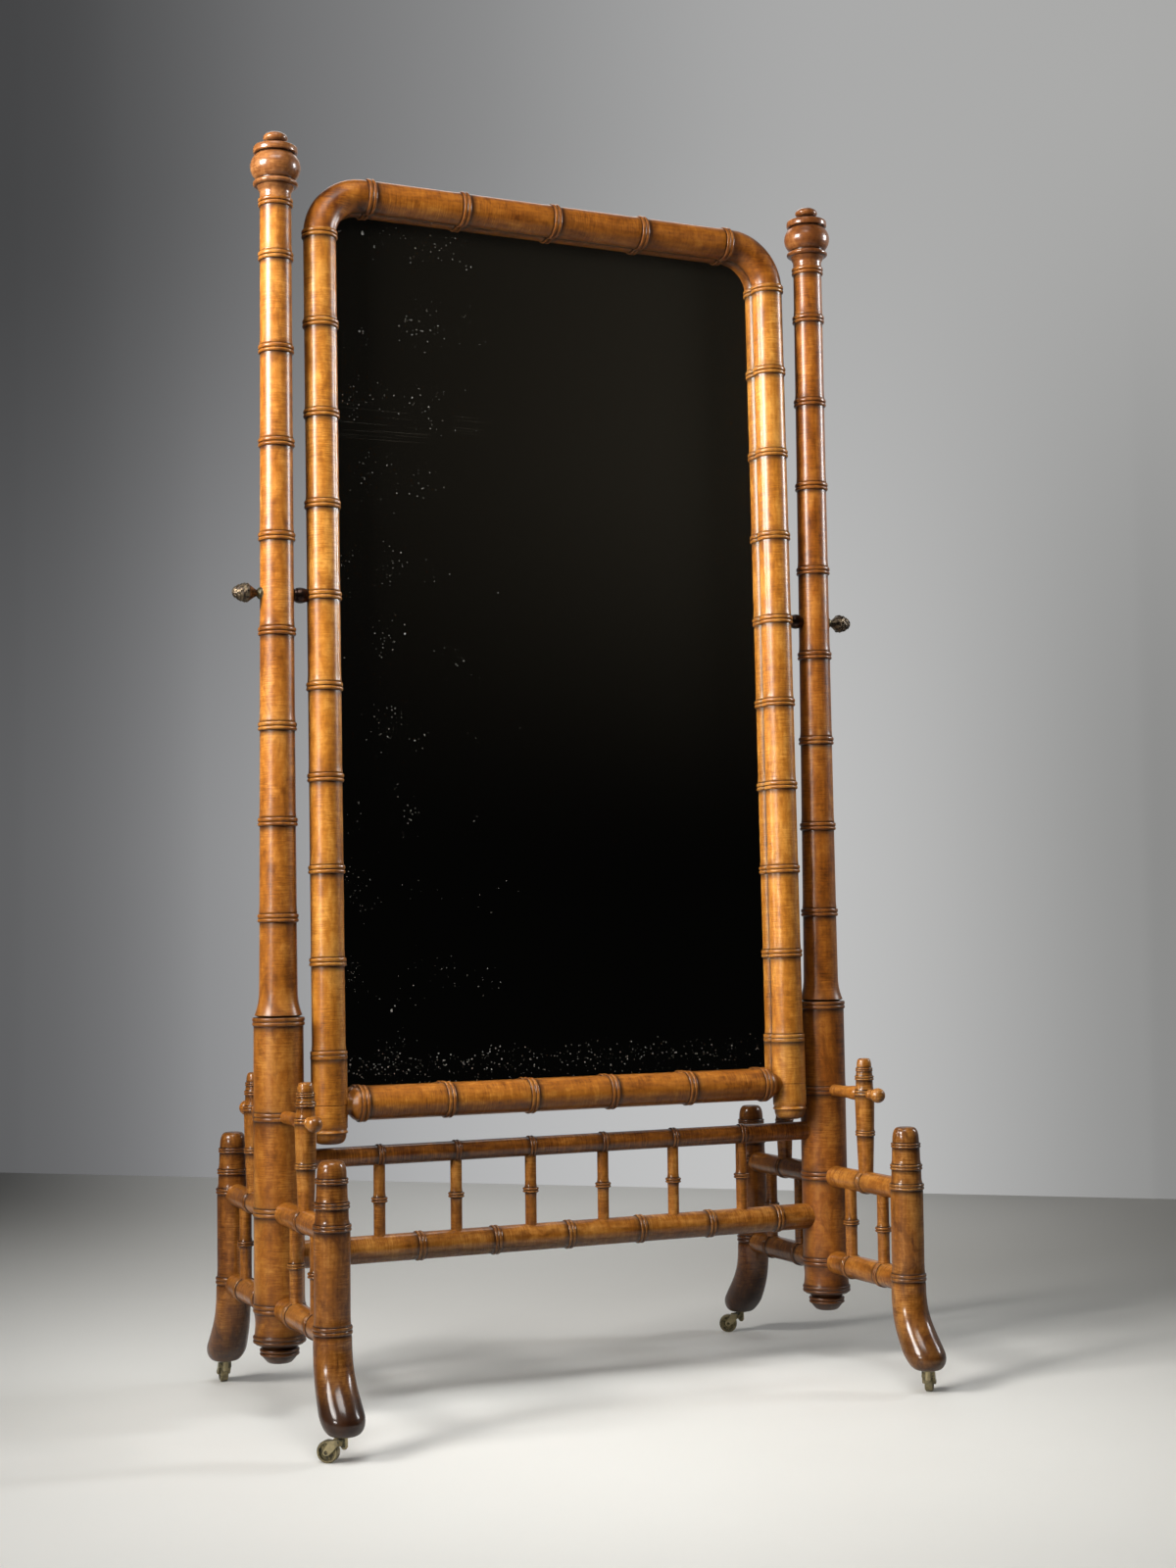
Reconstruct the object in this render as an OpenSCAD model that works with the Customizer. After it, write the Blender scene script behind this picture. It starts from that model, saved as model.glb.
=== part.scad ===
// Cheval mirror of turned wood in the faux bamboo manner, on brass casters.
// Millimetres. X runs along the stretchers, the front faces -Y, and the floor is at Z = 0.

/* [Posts] */
// Distance between the axes of the two posts
post_spacing = 894; // [820:1:980]
// Height of the underside of the posts above the floor
post_foot_z = 80.5; // [70:0.5:95]
// Height of the turned drop under the thick part of a post
post_drop_h = 33.5; // [28:0.5:38]
// Distance from the base ring up to the first ring of the thick part
first_ring_rise = 43.3; // [38:0.1:50]
// Spacing of the rings on the thick part of a post
lower_ring_pitch = 133.7; // [126:0.1:144]
// Distance from the last thick ring up to the first thin one
transition_rise = 146.6; // [130:0.1:165]
// Spacing of the rings on the thin part of a post
upper_ring_pitch = 137; // [130:0.5:146]
// Distance from the last thin ring up to the top of the post
neck_rise = 86; // [70:0.5:100]
// Diameter of the thick part of a post
thick_post_d = 71.5; // [66:0.5:78]
// Diameter of the thin part just above the thick one
thin_post_low_d = 54.6; // [50:0.2:58]
// Diameter of the thin part under the finial
thin_post_top_d = 45.5; // [42:0.5:50]
// Height of a finial
finial_h = 100; // [85:1:115]
// Largest diameter of a finial
finial_d = 73; // [66:1:80]

/* [Rings] */
// Width of a double ring on the posts, legs and mirror frame
ring_w = 12.5; // [10:0.5:14]
// How far a double ring stands out from a thin body
ring_rise = 2.6; // [1.5:0.1:3.5]
// How far a double ring stands out from the thick part of a post
thick_ring_rise = 1.5; // [1:0.1:2.5]
// Width of a double ring on the spindles and pegs
small_ring_w = 8; // [6:0.5:10]
// How far a double ring stands out from a spindle
small_ring_rise = 3.5; // [2:0.1:4]
// Depth of the groove between the two beads of a ring
groove_depth = 1.3; // [0.8:0.1:1.6]

/* [Trestles] */
// Distance between the axes of a front leg and the rear leg behind it
leg_spread = 474; // [440:1:520]
// Diameter of a leg
leg_d = 48; // [44:0.5:52]
// Height of a leg above the axis of the upper side rail
leg_rise = 93; // [85:0.5:100]
// Distance from the axis of the lower side rail up to the lowest leg ring
ankle_rise = 5.7; // [2:0.1:9]
// Diameter of the upper side rails
upper_rail_d = 33; // [30:0.5:36]
// Diameter of the lower side rails
lower_rail_d = 35.5; // [32:0.5:38]
// Depth of the sockets that the rails enter
socket_depth = 15; // [10:0.5:17]
// Diameter of the small spindles under the upper side rails
side_spindle_d = 18; // [15:0.5:20]
// Distance between the two small spindles of a side
side_spindle_pitch = 92; // [80:1:100]
// Height of a spike above the axis of the upper side rail
spike_rise = 189; // [175:1:205]
// Diameter of a spike
spike_d = 30.5; // [28:0.5:33]
// Diameter of the peg between a post and a spike
peg_d = 18.4; // [16:0.2:20]
// Diameter of the round knob in front of a spike
knob_d = 22.5; // [20:0.5:26]
// Distance from the axis of a spike to the middle of its knob
knob_reach = 38; // [34:0.5:44]
// Depth of the sockets that the spindles, spikes and knobs enter
pin_depth = 8; // [6:0.5:9]

/* [Feet] */
// How far a foot sweeps out past the axis of its leg
foot_reach = 46; // [35:0.5:55]
// Width of a foot at its fullest
foot_d = 59; // [56:0.5:64]
// Width of the flat under a foot
foot_flat_d = 30; // [27:0.5:36]

/* [Casters] */
// Diameter of a caster wheel
wheel_d = 29; // [26:0.5:32]
// Width of a caster wheel
wheel_w = 12; // [10:0.5:14]
// Distance from the swivel axis to the wheel axis
caster_trail = 22; // [21:0.5:26]
// Gap between the top of a wheel and the plate above it
wheel_headroom = 4.4; // [3.5:0.1:7]
// Thickness of a caster plate
plate_t = 2; // [1.5:0.1:3]
// Diameter of a caster plate
plate_d = 20; // [18:0.5:24]
// Diameter of the pin that a caster swivels on
swivel_pin_d = 5; // [4:0.1:5.5]
// Diameter of a wheel axle
axle_d = 4.4; // [3.5:0.1:5]
// Thickness of a cheek of a caster horn
cheek_t = 3.2; // [2.5:0.1:4]

/* [Stretchers] */
// Diameter of the upper stretcher
upper_stretcher_d = 28.5; // [26:0.5:32]
// Diameter of the lower stretcher
lower_stretcher_d = 39.5; // [36:0.5:42]
// Height of a stretcher above the middle between two post rings
stretcher_rise = 4; // [0:0.5:8]
// Spacing of the spindles between the stretchers
spindle_pitch = 118.9; // [108:0.1:124]
// Diameter of the spindles between the stretchers
spindle_d = 17; // [15:0.5:19]

/* [Mirror frame] */
// Distance from the axis of a post to the axis of the stile beside it
stile_offset = 70; // [68:0.5:80]
// Diameter of the stiles and rails of the frame
frame_d = 48; // [46:0.5:50]
// Diameter of the plain block at the bottom of a stile
block_d = 52; // [50:0.5:54]
// Spacing of the stile rings above the pivot
stile_upper_pitch = 134.4; // [125:0.1:140]
// Spacing of the stile rings below the pivot
stile_lower_pitch = 132.4; // [125:0.1:140]
// Height of the plain block at the bottom of a stile
block_h = 126; // [115:1:140]
// Height of the bottom rail above the underside of a stile
bottom_rail_rise = 55; // [48:1:62]
// Radius of the centreline of the round top corners
elbow_r = 68; // [60:1:80]
// Distance from a stile axis to the nearest ring of the bottom rail
end_ring_inset = 48; // [45:0.5:56]
// Gap between the swinging frame and the upper stretcher
swing_gap = 6.75; // [4:0.25:12]
// Backward lean of the frame in degrees
frame_lean = 1.17; // [0:0.01:5]
// Diameter of the dowels in the corner joints
dowel_d = 20; // [16:0.5:21]
// Length of the dowels in the corner joints
dowel_l = 24; // [18:1:30]

/* [Glass and back] */
// Distance from the axis of a stile back to the face of the glass
glass_setback = 11.4; // [11:0.1:12.5]
// Thickness of the glass
glass_t = 5; // [3:0.1:5]
// How far the edge of the glass stays inside the stile axis
glass_inset = 8; // [6:0.5:12]
// Thickness of the wooden back
back_t = 7; // [5:0.5:7]
// How far the wooden back reaches past the stile axis
back_overlap = 4; // [3:0.5:6]
// Diameter of the screws that hold the back
back_screw_d = 3.4; // [2.5:0.1:4]

/* [Pivots] */
// Diameter of the shank of a thumbscrew
screw_d = 8; // [6:0.5:9]
// Diameter of the threaded brass insert in a stile
insert_d = 14; // [12:0.5:15]
// Length of the threaded brass insert in a stile
insert_l = 15; // [12:0.5:17]
// Diameter of the turned spacer between a stile and a post
spacer_d = 23.5; // [21:0.5:26]
// Diameter of the collar under a thumbscrew
collar_d = 18; // [16:0.5:20]
// Thickness of the collar under a thumbscrew
collar_t = 7.5; // [6:0.5:10]
// Depth of the flat seats cut for the spacers and collars
seat_depth = 2; // [1.8:0.1:3]
// Largest diameter of the pine cone of a thumbscrew
cone_d = 28; // [24:0.5:32]
// Length of the pine cone of a thumbscrew
cone_l = 36; // [30:0.5:42]

/* [Fits] */
// Clearance around tenons, dowels and other fixed round ends
fit_gap = 0.05; // [0.02:0.01:0.1]
// Clearance around pins, axles and screws that turn
running_gap = 0.08; // [0.04:0.01:0.1]
// Clearance between faces that pass each other
face_gap = 0.3; // [0.2:0.05:0.5]

/* [Hidden] */
$fn = 64;

// Colours of the woods and metals
honey = [0.62, 0.36, 0.15];
amber = [0.70, 0.42, 0.17];
tobacco = [0.42, 0.23, 0.11];
old_brass = [0.45, 0.40, 0.24];
dark_brass = [0.20, 0.12, 0.08];
silvered = [0.16, 0.17, 0.18];

// Heights on a post, from the floor up
base_ring_z = post_foot_z + post_drop_h;
first_ring_z = base_ring_z + first_ring_rise;
thick_rings = 3;
transition_z = first_ring_z + thick_rings * lower_ring_pitch;
thin_rings = 8;
first_thin_z = transition_z + transition_rise;
last_thin_z = first_thin_z + (thin_rings - 1) * upper_ring_pitch;
post_top_z = last_thin_z + neck_rise;

// Heights of what meets a post at its rings or between them
lower_rail_z = first_ring_z;
upper_rail_z = first_ring_z + lower_ring_pitch;
peg_lift = 0.6;
peg_z = first_ring_z + 2 * lower_ring_pitch + peg_lift;
lower_stretcher_z = first_ring_z + lower_ring_pitch / 2 + stretcher_rise;
upper_stretcher_z = lower_stretcher_z + lower_ring_pitch;

// Plan of the stand
post_x = post_spacing / 2;
leg_y = leg_spread / 2;
thick_r = thick_post_d / 2;
leg_r = leg_d / 2;
arm_y = (thick_r + leg_y - leg_r) / 2;
spindle_count = 6;
// Where a side rail starts inside the post and ends inside the leg
rail_start = thick_r - socket_depth + fit_gap;
rail_end = leg_y - leg_r + socket_depth - fit_gap;
// Half the length of a stretcher, with its ends in the posts
stretcher_half = post_x - thick_r + socket_depth - fit_gap;
spike_foot_d = spike_d * 0.75;
spike_hole_d = peg_d * 0.76;
spike_ring_lift = 3;
peg_ring_lift = 2;

// Flares of the turned bodies above their rings: how high they reach and how far out they start
flare_h = 14;
flare_out = 0.8;
leg_flare_h = 9;
thin_post_flare_h = 16;
thin_post_flare_out = 1;
transition_flare_h = 38;
// How much slimmer the thick part is just under the transition ring, and extra height of the thin rings
transition_waist = 0.4;
thin_ring_extra = 0.3;
// Short plain end of a post above its top ring, on which the finial stands
neck_end = 0.1;
// Half the turn, in degrees, over which a flat bead and a large ball are drawn
bead_turn = 75;
ball_turn = 42;
// How far a cutting shape reaches past the face that it cuts
past = 1;

// Caster heights
wheel_r = wheel_d / 2;
caster_h = wheel_d + wheel_headroom + plate_t;
boss_top_z = caster_h - plate_t - face_gap;
boss_h = 12.5;
boss_d = 9.5;
rivet_h = 2.5;
rivet_d = 7.4;
plate_screw_l = 14;
plate_screw_d = 8;
// Thickness of the yoke between boss and cheeks, and how far the ends of the axle stand out
yoke_t = 2.4;
axle_head_h = 0.8;
// Swivel angle of each caster as it stands, with front left, front right, rear left, rear right
swivel = [140, 52, 82, 150];

// Heights of the mirror frame, measured from its pivot
rings_above = 4;
rings_below = 5;
block_top_h = -rings_below * stile_lower_pitch;
stile_bottom_h = block_top_h - block_h;
bottom_rail_h = stile_bottom_h + bottom_rail_rise;
elbow_h = rings_above * stile_upper_pitch;
top_rail_h = elbow_h + elbow_r;
pivot_z = upper_stretcher_z + upper_stretcher_d / 2 + swing_gap - stile_bottom_h;
stile_x = post_x - stile_offset;
frame_r = frame_d / 2;
elbow_x = stile_x - elbow_r;
top_ring_x = elbow_x - ring_w * 0.72;
end_ring_x = stile_x - end_ring_inset;
rail_neck_d = frame_d * 0.64;
// How far a dowel reaches back into its elbow
dowel_root = 6;

// Depths behind the axes of the frame: the shelf that the back lies on, and the outside of the back
shelf_y = glass_setback + glass_t + 2 * face_gap;
board_back_y = shelf_y + face_gap / 3 + back_t;
back_screw_l = 14;

// Positions along the pivot axis, measured from the middle of the mirror
stile_seat_x = stile_x + frame_r + ring_rise - seat_depth;
spacer_end_x = post_x - post_body_r(pivot_z) - face_gap;
collar_seat_x = post_x + post_body_r(pivot_z) - seat_depth;
cone_x = collar_seat_x + face_gap + collar_t;
// How far a thumbscrew reaches past its insert, and the room for its end
screw_reach = 3;
screw_room = 5;

// Radius of the thin part of a post at height z, which swells slowly downward
function post_body_r(z) =
    let (t = (post_top_z - z) / (post_top_z - transition_z))
    (thin_post_top_d + (thin_post_low_d - thin_post_top_d) * pow(t, 1.5)) / 2;

// Points of a double ring around z: body radius below and above, ring radius, and flare above it
function ring(z, w, below, above, top, flare_h = 0, flare_r = 0) =
    let (q = w / 4, groove = max(top - groove_depth, min(below, above) - groove_depth / 2))
    concat(
        [[z - w / 2, below]],
        [for (a = [30:40:150]) [z - q - q * cos(a), below + (top - below) * sin(a)]],
        [[z, groove]],
        [for (a = [30:40:150]) [z + q - q * cos(a), groove + (top - groove) * sin(a)]],
        [[z + w / 2, above + flare_r]],
        flare_h == 0 ? [] : [
            [z + w / 2 + flare_h * 0.2, above + flare_r * 0.6],
            [z + w / 2 + flare_h * 0.5, above + flare_r * 0.25],
            [z + w / 2 + flare_h, above]]);

// Points of a swelling around z with half height h, from angle a to angle b
function swell(z, h, r, dr, a, b, step = 15) = [for (t = [a:step:b]) [z + h * sin(t), r + dr * cos(t)]];

// Solid turned about Z from points of height and radius
module turned(profile) {
    first = profile[0];
    last = profile[len(profile) - 1];
    rotate_extrude()
        polygon(concat([[0, first[0]]], [for (p = profile) [p[1], p[0]]], [[0, last[0]]]));
}

// Round pin along Z from height a to height b
module pin(d, a, b) {
    translate([0, 0, a])
        cylinder(d = d, h = b - a);
}

// Round bore along Z, a pin that is taken away
module bore(d, a, b) {
    pin(d, a, b);
}

// Solid with a row of points at each level, from the lowest row up, all with the same number of points
module stacked(rows) {
    sides = len(rows[0]);
    last = len(rows) - 1;
    walls = [for (k = [0:last - 1], i = [0:sides - 1])
        let (j = (i + 1) % sides, a = k * sides, b = a + sides)
        each [[a + i, b + j, a + j], [a + i, b + i, b + j]]];
    underside = [for (i = [0:sides - 1]) i];
    upper_face = [for (i = [sides - 1:-1:0]) last * sides + i];
    polyhedron(
        points = [for (row = rows) each row],
        faces = concat([underside], walls, [upper_face]),
        convexity = 4);
}

// Places a child beside a post: sx is -1 on the left, sy is -1 in front, and local +Y points outward
module corner(sx, sy) {
    translate([sx * post_x, 0, 0])
        rotate([0, 0, sy < 0 ? 180 : 0])
            children();
}

// Turns a child's Z axis to point along Y
module along_y() {
    rotate([-90, 0, 0])
        children();
}

// Turns a child's Z axis to point along X
module along_x() {
    rotate([0, 90, 0])
        children();
}

// Posts

// The turned drop is drawn in shares of its height and of the radius of the thick part
function post_drop() =
    let (z = post_foot_z, h = post_drop_h, r = thick_r)
    concat(
        [[z, r * 0.4], [z + h * 0.04, r * 0.5], [z + h * 0.34, r * 0.69]],
        ring(z + h * 0.52, h * 0.24, r * 0.69, r * 0.69, r * 0.75),
        [[z + h * 0.72, r * 0.73], [z + h * 0.78, r * 0.92]],
        ring(base_ring_z, h * 0.32, r * 0.99, r, r * 1.045),
        [[base_ring_z + h * 0.3, r * 0.98], [base_ring_z + h * 0.6, r * 0.955],
            [base_ring_z + h * 0.85, r * 0.96]]);

function thick_part() = [for (i = [0:thick_rings - 1])
    each ring(first_ring_z + i * lower_ring_pitch, ring_w, thick_r, thick_r, thick_r + thick_ring_rise,
        ring_w, thick_ring_rise * 0.3)];

function transition_part() =
    let (low_r = post_body_r(transition_z))
    ring(transition_z, ring_w, thick_r - transition_waist, low_r, thick_r + thick_ring_rise,
        transition_flare_h, (thick_r - low_r) * 0.95);

function thin_part() = [for (i = [0:thin_rings - 1])
    let (z = first_thin_z + i * upper_ring_pitch, r = post_body_r(z))
    each ring(z, ring_w, r, r, r + ring_rise + thin_ring_extra, thin_post_flare_h, thin_post_flare_out)];

function post_neck() =
    let (r = thin_post_top_d / 2)
    concat(
        ring(post_top_z - ring_w / 2, ring_w, r, r, r + ring_rise),
        [[post_top_z + neck_end, r]]);

module post(sx) {
    bead_r = post_body_r(pivot_z);
    color(honey)
        difference() {
            translate([sx * post_x, 0, 0])
                turned(concat(post_drop(), thick_part(), transition_part(), thin_part(), post_neck()));
            translate([sx * post_x, 0, 0])
                bore(dowel_d + 2 * fit_gap, post_top_z - dowel_l - fit_gap, post_top_z + past);
            // Sockets of the side rails and pegs, in front and behind
            for (sy = [-1, 1])
                corner(sx, sy)
                    along_y_sockets();
            // Sockets of the stretchers, on the inner side
            translate([sx * post_x, 0, upper_stretcher_z])
                rotate([0, -sx * 90, 0])
                    bore(upper_stretcher_d + 2 * fit_gap, thick_r - socket_depth, thick_r + ring_w);
            translate([sx * post_x, 0, lower_stretcher_z])
                rotate([0, -sx * 90, 0])
                    bore(lower_stretcher_d + 2 * fit_gap, thick_r - socket_depth, thick_r + ring_w);
            // Pivot bore and the flat seat of the collar
            translate([sx * post_x, 0, pivot_z])
                rotate([0, sx * 90, 0]) {
                    bore(screw_d + 2 * running_gap, -bead_r - ring_w, bead_r + ring_w);
                    bore(collar_d + 2 * face_gap, bead_r - seat_depth, bead_r + ring_w);
                }
        }
}

// The three sockets on one face of a post, along local Y
module along_y_sockets() {
    reach = thick_r + ring_w;
    translate([0, 0, lower_rail_z])
        along_y()
            bore(lower_rail_d + 2 * fit_gap, thick_r - socket_depth, reach);
    translate([0, 0, upper_rail_z])
        along_y()
            bore(upper_rail_d + 2 * fit_gap, thick_r - socket_depth, reach);
    translate([0, 0, peg_z])
        along_y()
            bore(peg_d + 2 * fit_gap, thick_r - socket_depth, reach);
}

// The finial is drawn in shares of its height and of its largest radius
module finial(sx) {
    h = finial_h;
    r = finial_d / 2;
    neck = thin_post_top_d / 2;
    color(tobacco)
        translate([sx * post_x, 0, post_top_z + neck_end]) {
            turned(concat(
                [[0, neck], [h * 0.09, neck], [h * 0.15, r * 0.71]],
                swell(h * 0.22, h * 0.045, r * 0.71, r * 0.19, -bead_turn, bead_turn),
                swell(h * 0.47, h * 0.29, 0, r, -ball_turn, ball_turn, ball_turn / 3.5),
                [[h * 0.672, r * 0.86], [h * 0.69, r * 0.885], [h * 0.75, r * 0.885], [h * 0.775, r * 0.84],
                    [h * 0.792, r * 0.6], [h * 0.8, r * 0.3]],
                swell(h * 0.905, h * 0.095, 0, r * 0.49, 15 - bead_turn, bead_turn)));
            pin(dowel_d, -dowel_l, h * 0.1);
        }
}

// Legs

function ankle_z() = lower_rail_z + ankle_rise;

function leg_profile() =
    let (top = leg_rise, z = upper_rail_z, r = leg_r)
    concat(
        [[ankle_z() - ring_w * 1.4, r * 1.04]],
        ring(ankle_z(), ring_w * 0.9, r * 1.04, r, r + ring_rise, flare_h, flare_out),
        ring(z + top * 0.055, ring_w * 0.75, r * 1.01, r * 0.93, r * 1.08, leg_flare_h, r * 0.07),
        ring(z + top * 0.366, ring_w * 0.7, r * 0.92, r * 0.875, r, leg_flare_h, r * 0.06),
        ring(z + top * 0.71, ring_w * 0.6, r * 0.86, r * 0.83, r * 0.92),
        [[z + top * 0.765, r * 0.83], [z + top * 0.85, r * 0.815], [z + top * 0.92, r * 0.76],
            [z + top * 0.97, r * 0.66], [z + top, r * 0.55]]);

// Share of the foot's outward sweep at share t of the way down
function sweep(t) = let (u = pow(t, 1.6)) u * u * (3 - 2 * u);

// Steepness of the sweep at share t, in shares of its reach for a share of its height
function sweep_slope(t) =
    let (step = 0.01)
    (sweep(min(1, t + step)) - sweep(max(0, t - step))) / (2 * step);

// Share of the way down at which a foot is fullest
foot_fullest = 0.8;

// Half width of the foot at share t: it swells down to its fullest and turns in to the flat underside
function foot_swell(t) =
    let (flat = foot_flat_d / 2, full = foot_d / 2, neck = leg_r * 1.07,
        u = max(0, (t - foot_fullest) / (1 - foot_fullest)))
    t < foot_fullest
        ? neck + (full - neck) * pow(t / foot_fullest, 2)
        : flat + (full - flat) * sqrt(max(0, 1 - u * u));

// Swept foot, a stack of flat ellipses from the flat underside up to the ankle
module foot() {
    sides = 28;
    levels = concat(
        [for (a = [90:-15:15]) foot_fullest + (1 - foot_fullest) * sin(a)],
        [for (k = [10:-1:0]) foot_fullest * k / 10]);
    top_z = ankle_z() - ring_w * 0.6;
    drop = top_z - caster_h;
    stacked([for (t = levels)
        let (w = t == 0 ? leg_r * 1.02 : foot_swell(t),
            slope = foot_reach / drop * sweep_slope(t),
            depth = t > 0.99 ? w : w * sqrt(1 + slope * slope))
        [for (i = [0:sides - 1])
            let (a = 360 * i / sides)
            [w * cos(a), foot_reach * sweep(t) + depth * sin(a), top_z - drop * t]]]);
}

module leg(sx, sy) {
    color(honey)
        corner(sx, sy)
            translate([0, leg_y, 0])
                difference() {
                    union() {
                        turned(leg_profile());
                        foot();
                    }
                    leg_socket(lower_rail_z, lower_rail_d);
                    leg_socket(upper_rail_z, upper_rail_d);
                    translate([0, foot_reach, 0])
                        bore(plate_screw_d + 2 * fit_gap, caster_h - past, caster_h + plate_screw_l + face_gap);
                }
}

// Socket in the inner side of a leg
module leg_socket(z, d) {
    translate([0, 0, z])
        rotate([90, 0, 0])
            bore(d + 2 * fit_gap, leg_r - socket_depth, leg_r + ring_w);
}

// Side rails, spindles, spikes and pegs

module upper_rail(sx, sy) {
    r = upper_rail_d / 2;
    color(amber)
        corner(sx, sy)
            difference() {
                translate([0, 0, upper_rail_z])
                    along_y()
                        turned(concat(
                            [[rail_start, r]],
                            ring(arm_y, ring_w * 0.8, r, r, r + ring_rise * 0.7),
                            [[rail_end, r]]));
                for (s = [-1, 1])
                    translate([0, arm_y + s * side_spindle_pitch / 2, 0])
                        bore(side_spindle_d + 2 * fit_gap, upper_rail_z - r - ring_w,
                            upper_rail_z - r + pin_depth);
                translate([0, arm_y, 0])
                    bore(spike_foot_d + 2 * fit_gap, upper_rail_z + r - pin_depth, upper_rail_z + r + ring_w);
            }
}

module lower_rail(sx, sy) {
    r = lower_rail_d / 2;
    half = side_spindle_pitch / 2;
    color(amber)
        corner(sx, sy)
            difference() {
                translate([0, 0, lower_rail_z])
                    along_y()
                        turned(concat(
                            [[rail_start, r]],
                            ring(arm_y - half, ring_w * 0.8, r, r, r + ring_rise * 0.7),
                            ring(arm_y + half, ring_w * 0.8, r, r, r + ring_rise * 0.7),
                            [[rail_end, r]]));
                for (s = [-1, 1])
                    translate([0, arm_y + s * half, 0])
                        bore(side_spindle_d + 2 * fit_gap, lower_rail_z + r - pin_depth,
                            lower_rail_z + r + ring_w);
            }
}

// A spindle with one double ring at its middle, from height a to height b
module spindle(d, a, b) {
    r = d / 2;
    mid = (a + b) / 2;
    turned(concat(
        [[a, r]],
        [[mid - small_ring_w * 1.5, r]],
        ring(mid, small_ring_w, r * 1.05, r, r + small_ring_rise, small_ring_w, r * 0.12),
        [[b, r]]));
}

module side_spindles(sx, sy) {
    color(amber)
        corner(sx, sy)
            for (s = [-1, 1])
                translate([0, arm_y + s * side_spindle_pitch / 2, 0])
                    spindle(side_spindle_d, lower_rail_z + lower_rail_d / 2 - pin_depth + fit_gap,
                        upper_rail_z - upper_rail_d / 2 + pin_depth - fit_gap);
}

function spike_profile() =
    let (foot = upper_rail_z + upper_rail_d / 2 - pin_depth + fit_gap, top = upper_rail_z + spike_rise,
        r = spike_d / 2, foot_r = spike_foot_d / 2, low = (foot + peg_z) / 2 + spike_ring_lift)
    concat(
        [[foot, foot_r], [foot + pin_depth + 1, foot_r]],
        ring(low, small_ring_w, r * 0.88, r * 0.91, r, 5, r * 0.04),
        ring(peg_z + peg_ring_lift, small_ring_w, r * 0.99, r * 0.87, r * 1.03, 7, r * 0.08),
        ring(top - r * 1.97, small_ring_w * 0.9, r * 0.85, r * 0.82, r * 0.96, 3, r * 0.04),
        ring(top - r * 1.13, small_ring_w * 0.75, r * 0.8, r * 0.74, r * 0.86),
        [[top - r * 0.82, r * 0.74], [top - r * 0.5, r * 0.72], [top - r * 0.25, r * 0.66],
            [top - r * 0.08, r * 0.58], [top, r * 0.45]]);

module spike(sx, sy) {
    color(amber)
        corner(sx, sy)
            translate([0, arm_y, 0])
                difference() {
                    turned(spike_profile());
                    translate([0, 0, peg_z])
                        along_y()
                            bore(spike_hole_d + 2 * fit_gap, -spike_d, spike_d);
                }
}

module peg(sx, sy) {
    r = peg_d / 2;
    near = arm_y - spike_d / 2;
    color(amber)
        corner(sx, sy)
            translate([0, 0, peg_z])
                along_y()
                    turned(concat(
                        [[rail_start, r], [near - r * 3.6, r], [near - r * 2.6, r * 1.1],
                            [near - r * 1.6, r * 1.2], [near - r * 0.8, r * 1.16], [near - r * 0.35, r * 1.04],
                            [near - r * 0.1, r * 0.9]],
                        [[near - face_gap, spike_hole_d / 2], [near + pin_depth, spike_hole_d / 2]]));
}

module peg_knob(sx, sy) {
    r = knob_d / 2;
    far = arm_y + spike_d / 2;
    ball = arm_y + knob_reach;
    hole_r = spike_hole_d / 2;
    color(tobacco)
        corner(sx, sy)
            translate([0, 0, peg_z])
                along_y()
                    turned(concat(
                        [[far - pin_depth, hole_r], [far + face_gap, hole_r]],
                        [[far + r * 0.2, r * 0.72], [far + r * 0.42, r * 0.74], [far + r * 0.6, r * 0.56]],
                        swell(ball, r, 0, r, 20 - bead_turn, bead_turn, 10),
                        [[ball + r * 0.99, r * 0.12]]));
}

module peg_knobs() {
    for (sx = [-1, 1], sy = [-1, 1])
        peg_knob(sx, sy);
}

// Stretchers and their spindles

function spindle_x(i) = (i - (spindle_count - 1) / 2) * spindle_pitch;

module upper_stretcher() {
    r = upper_stretcher_d / 2;
    color(amber)
        difference() {
            translate([0, 0, upper_stretcher_z])
                along_x()
                    turned(concat(
                        [[-stretcher_half, r]],
                        [for (i = [0:spindle_count - 1])
                            each ring(spindle_x(i), ring_w * 0.75, r, r, r + ring_rise * 0.7)],
                        [[stretcher_half, r]]));
            for (i = [0:spindle_count - 1])
                translate([spindle_x(i), 0, 0])
                    bore(spindle_d + 2 * fit_gap, upper_stretcher_z - r - ring_w,
                        upper_stretcher_z - r + pin_depth);
        }
}

module lower_stretcher() {
    r = lower_stretcher_d / 2;
    color(amber)
        difference() {
            translate([0, 0, lower_stretcher_z])
                along_x()
                    turned(concat(
                        [[-stretcher_half, r]],
                        [for (i = [-0.5:spindle_count - 0.5])
                            each ring(spindle_x(i), ring_w * 0.9, r, r, r + ring_rise * 0.7)],
                        [[stretcher_half, r]]));
            for (i = [0:spindle_count - 1])
                translate([spindle_x(i), 0, 0])
                    bore(spindle_d + 2 * fit_gap, lower_stretcher_z + r - pin_depth,
                        lower_stretcher_z + r + ring_w);
        }
}

module stretcher_spindles() {
    color(amber)
        for (i = [0:spindle_count - 1])
            translate([spindle_x(i), 0, 0])
                spindle(spindle_d, lower_stretcher_z + lower_stretcher_d / 2 - pin_depth + fit_gap,
                    upper_stretcher_z - upper_stretcher_d / 2 + pin_depth - fit_gap);
}

// Casters

// Places a child on the swivel axis under one foot
module under_foot(sx, sy) {
    translate([sx * post_x, sy * (leg_y + foot_reach), 0])
        children();
}

function swivel_of(sx, sy) = swivel[(sy > 0 ? 2 : 0) + (sx > 0 ? 1 : 0)];

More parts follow.
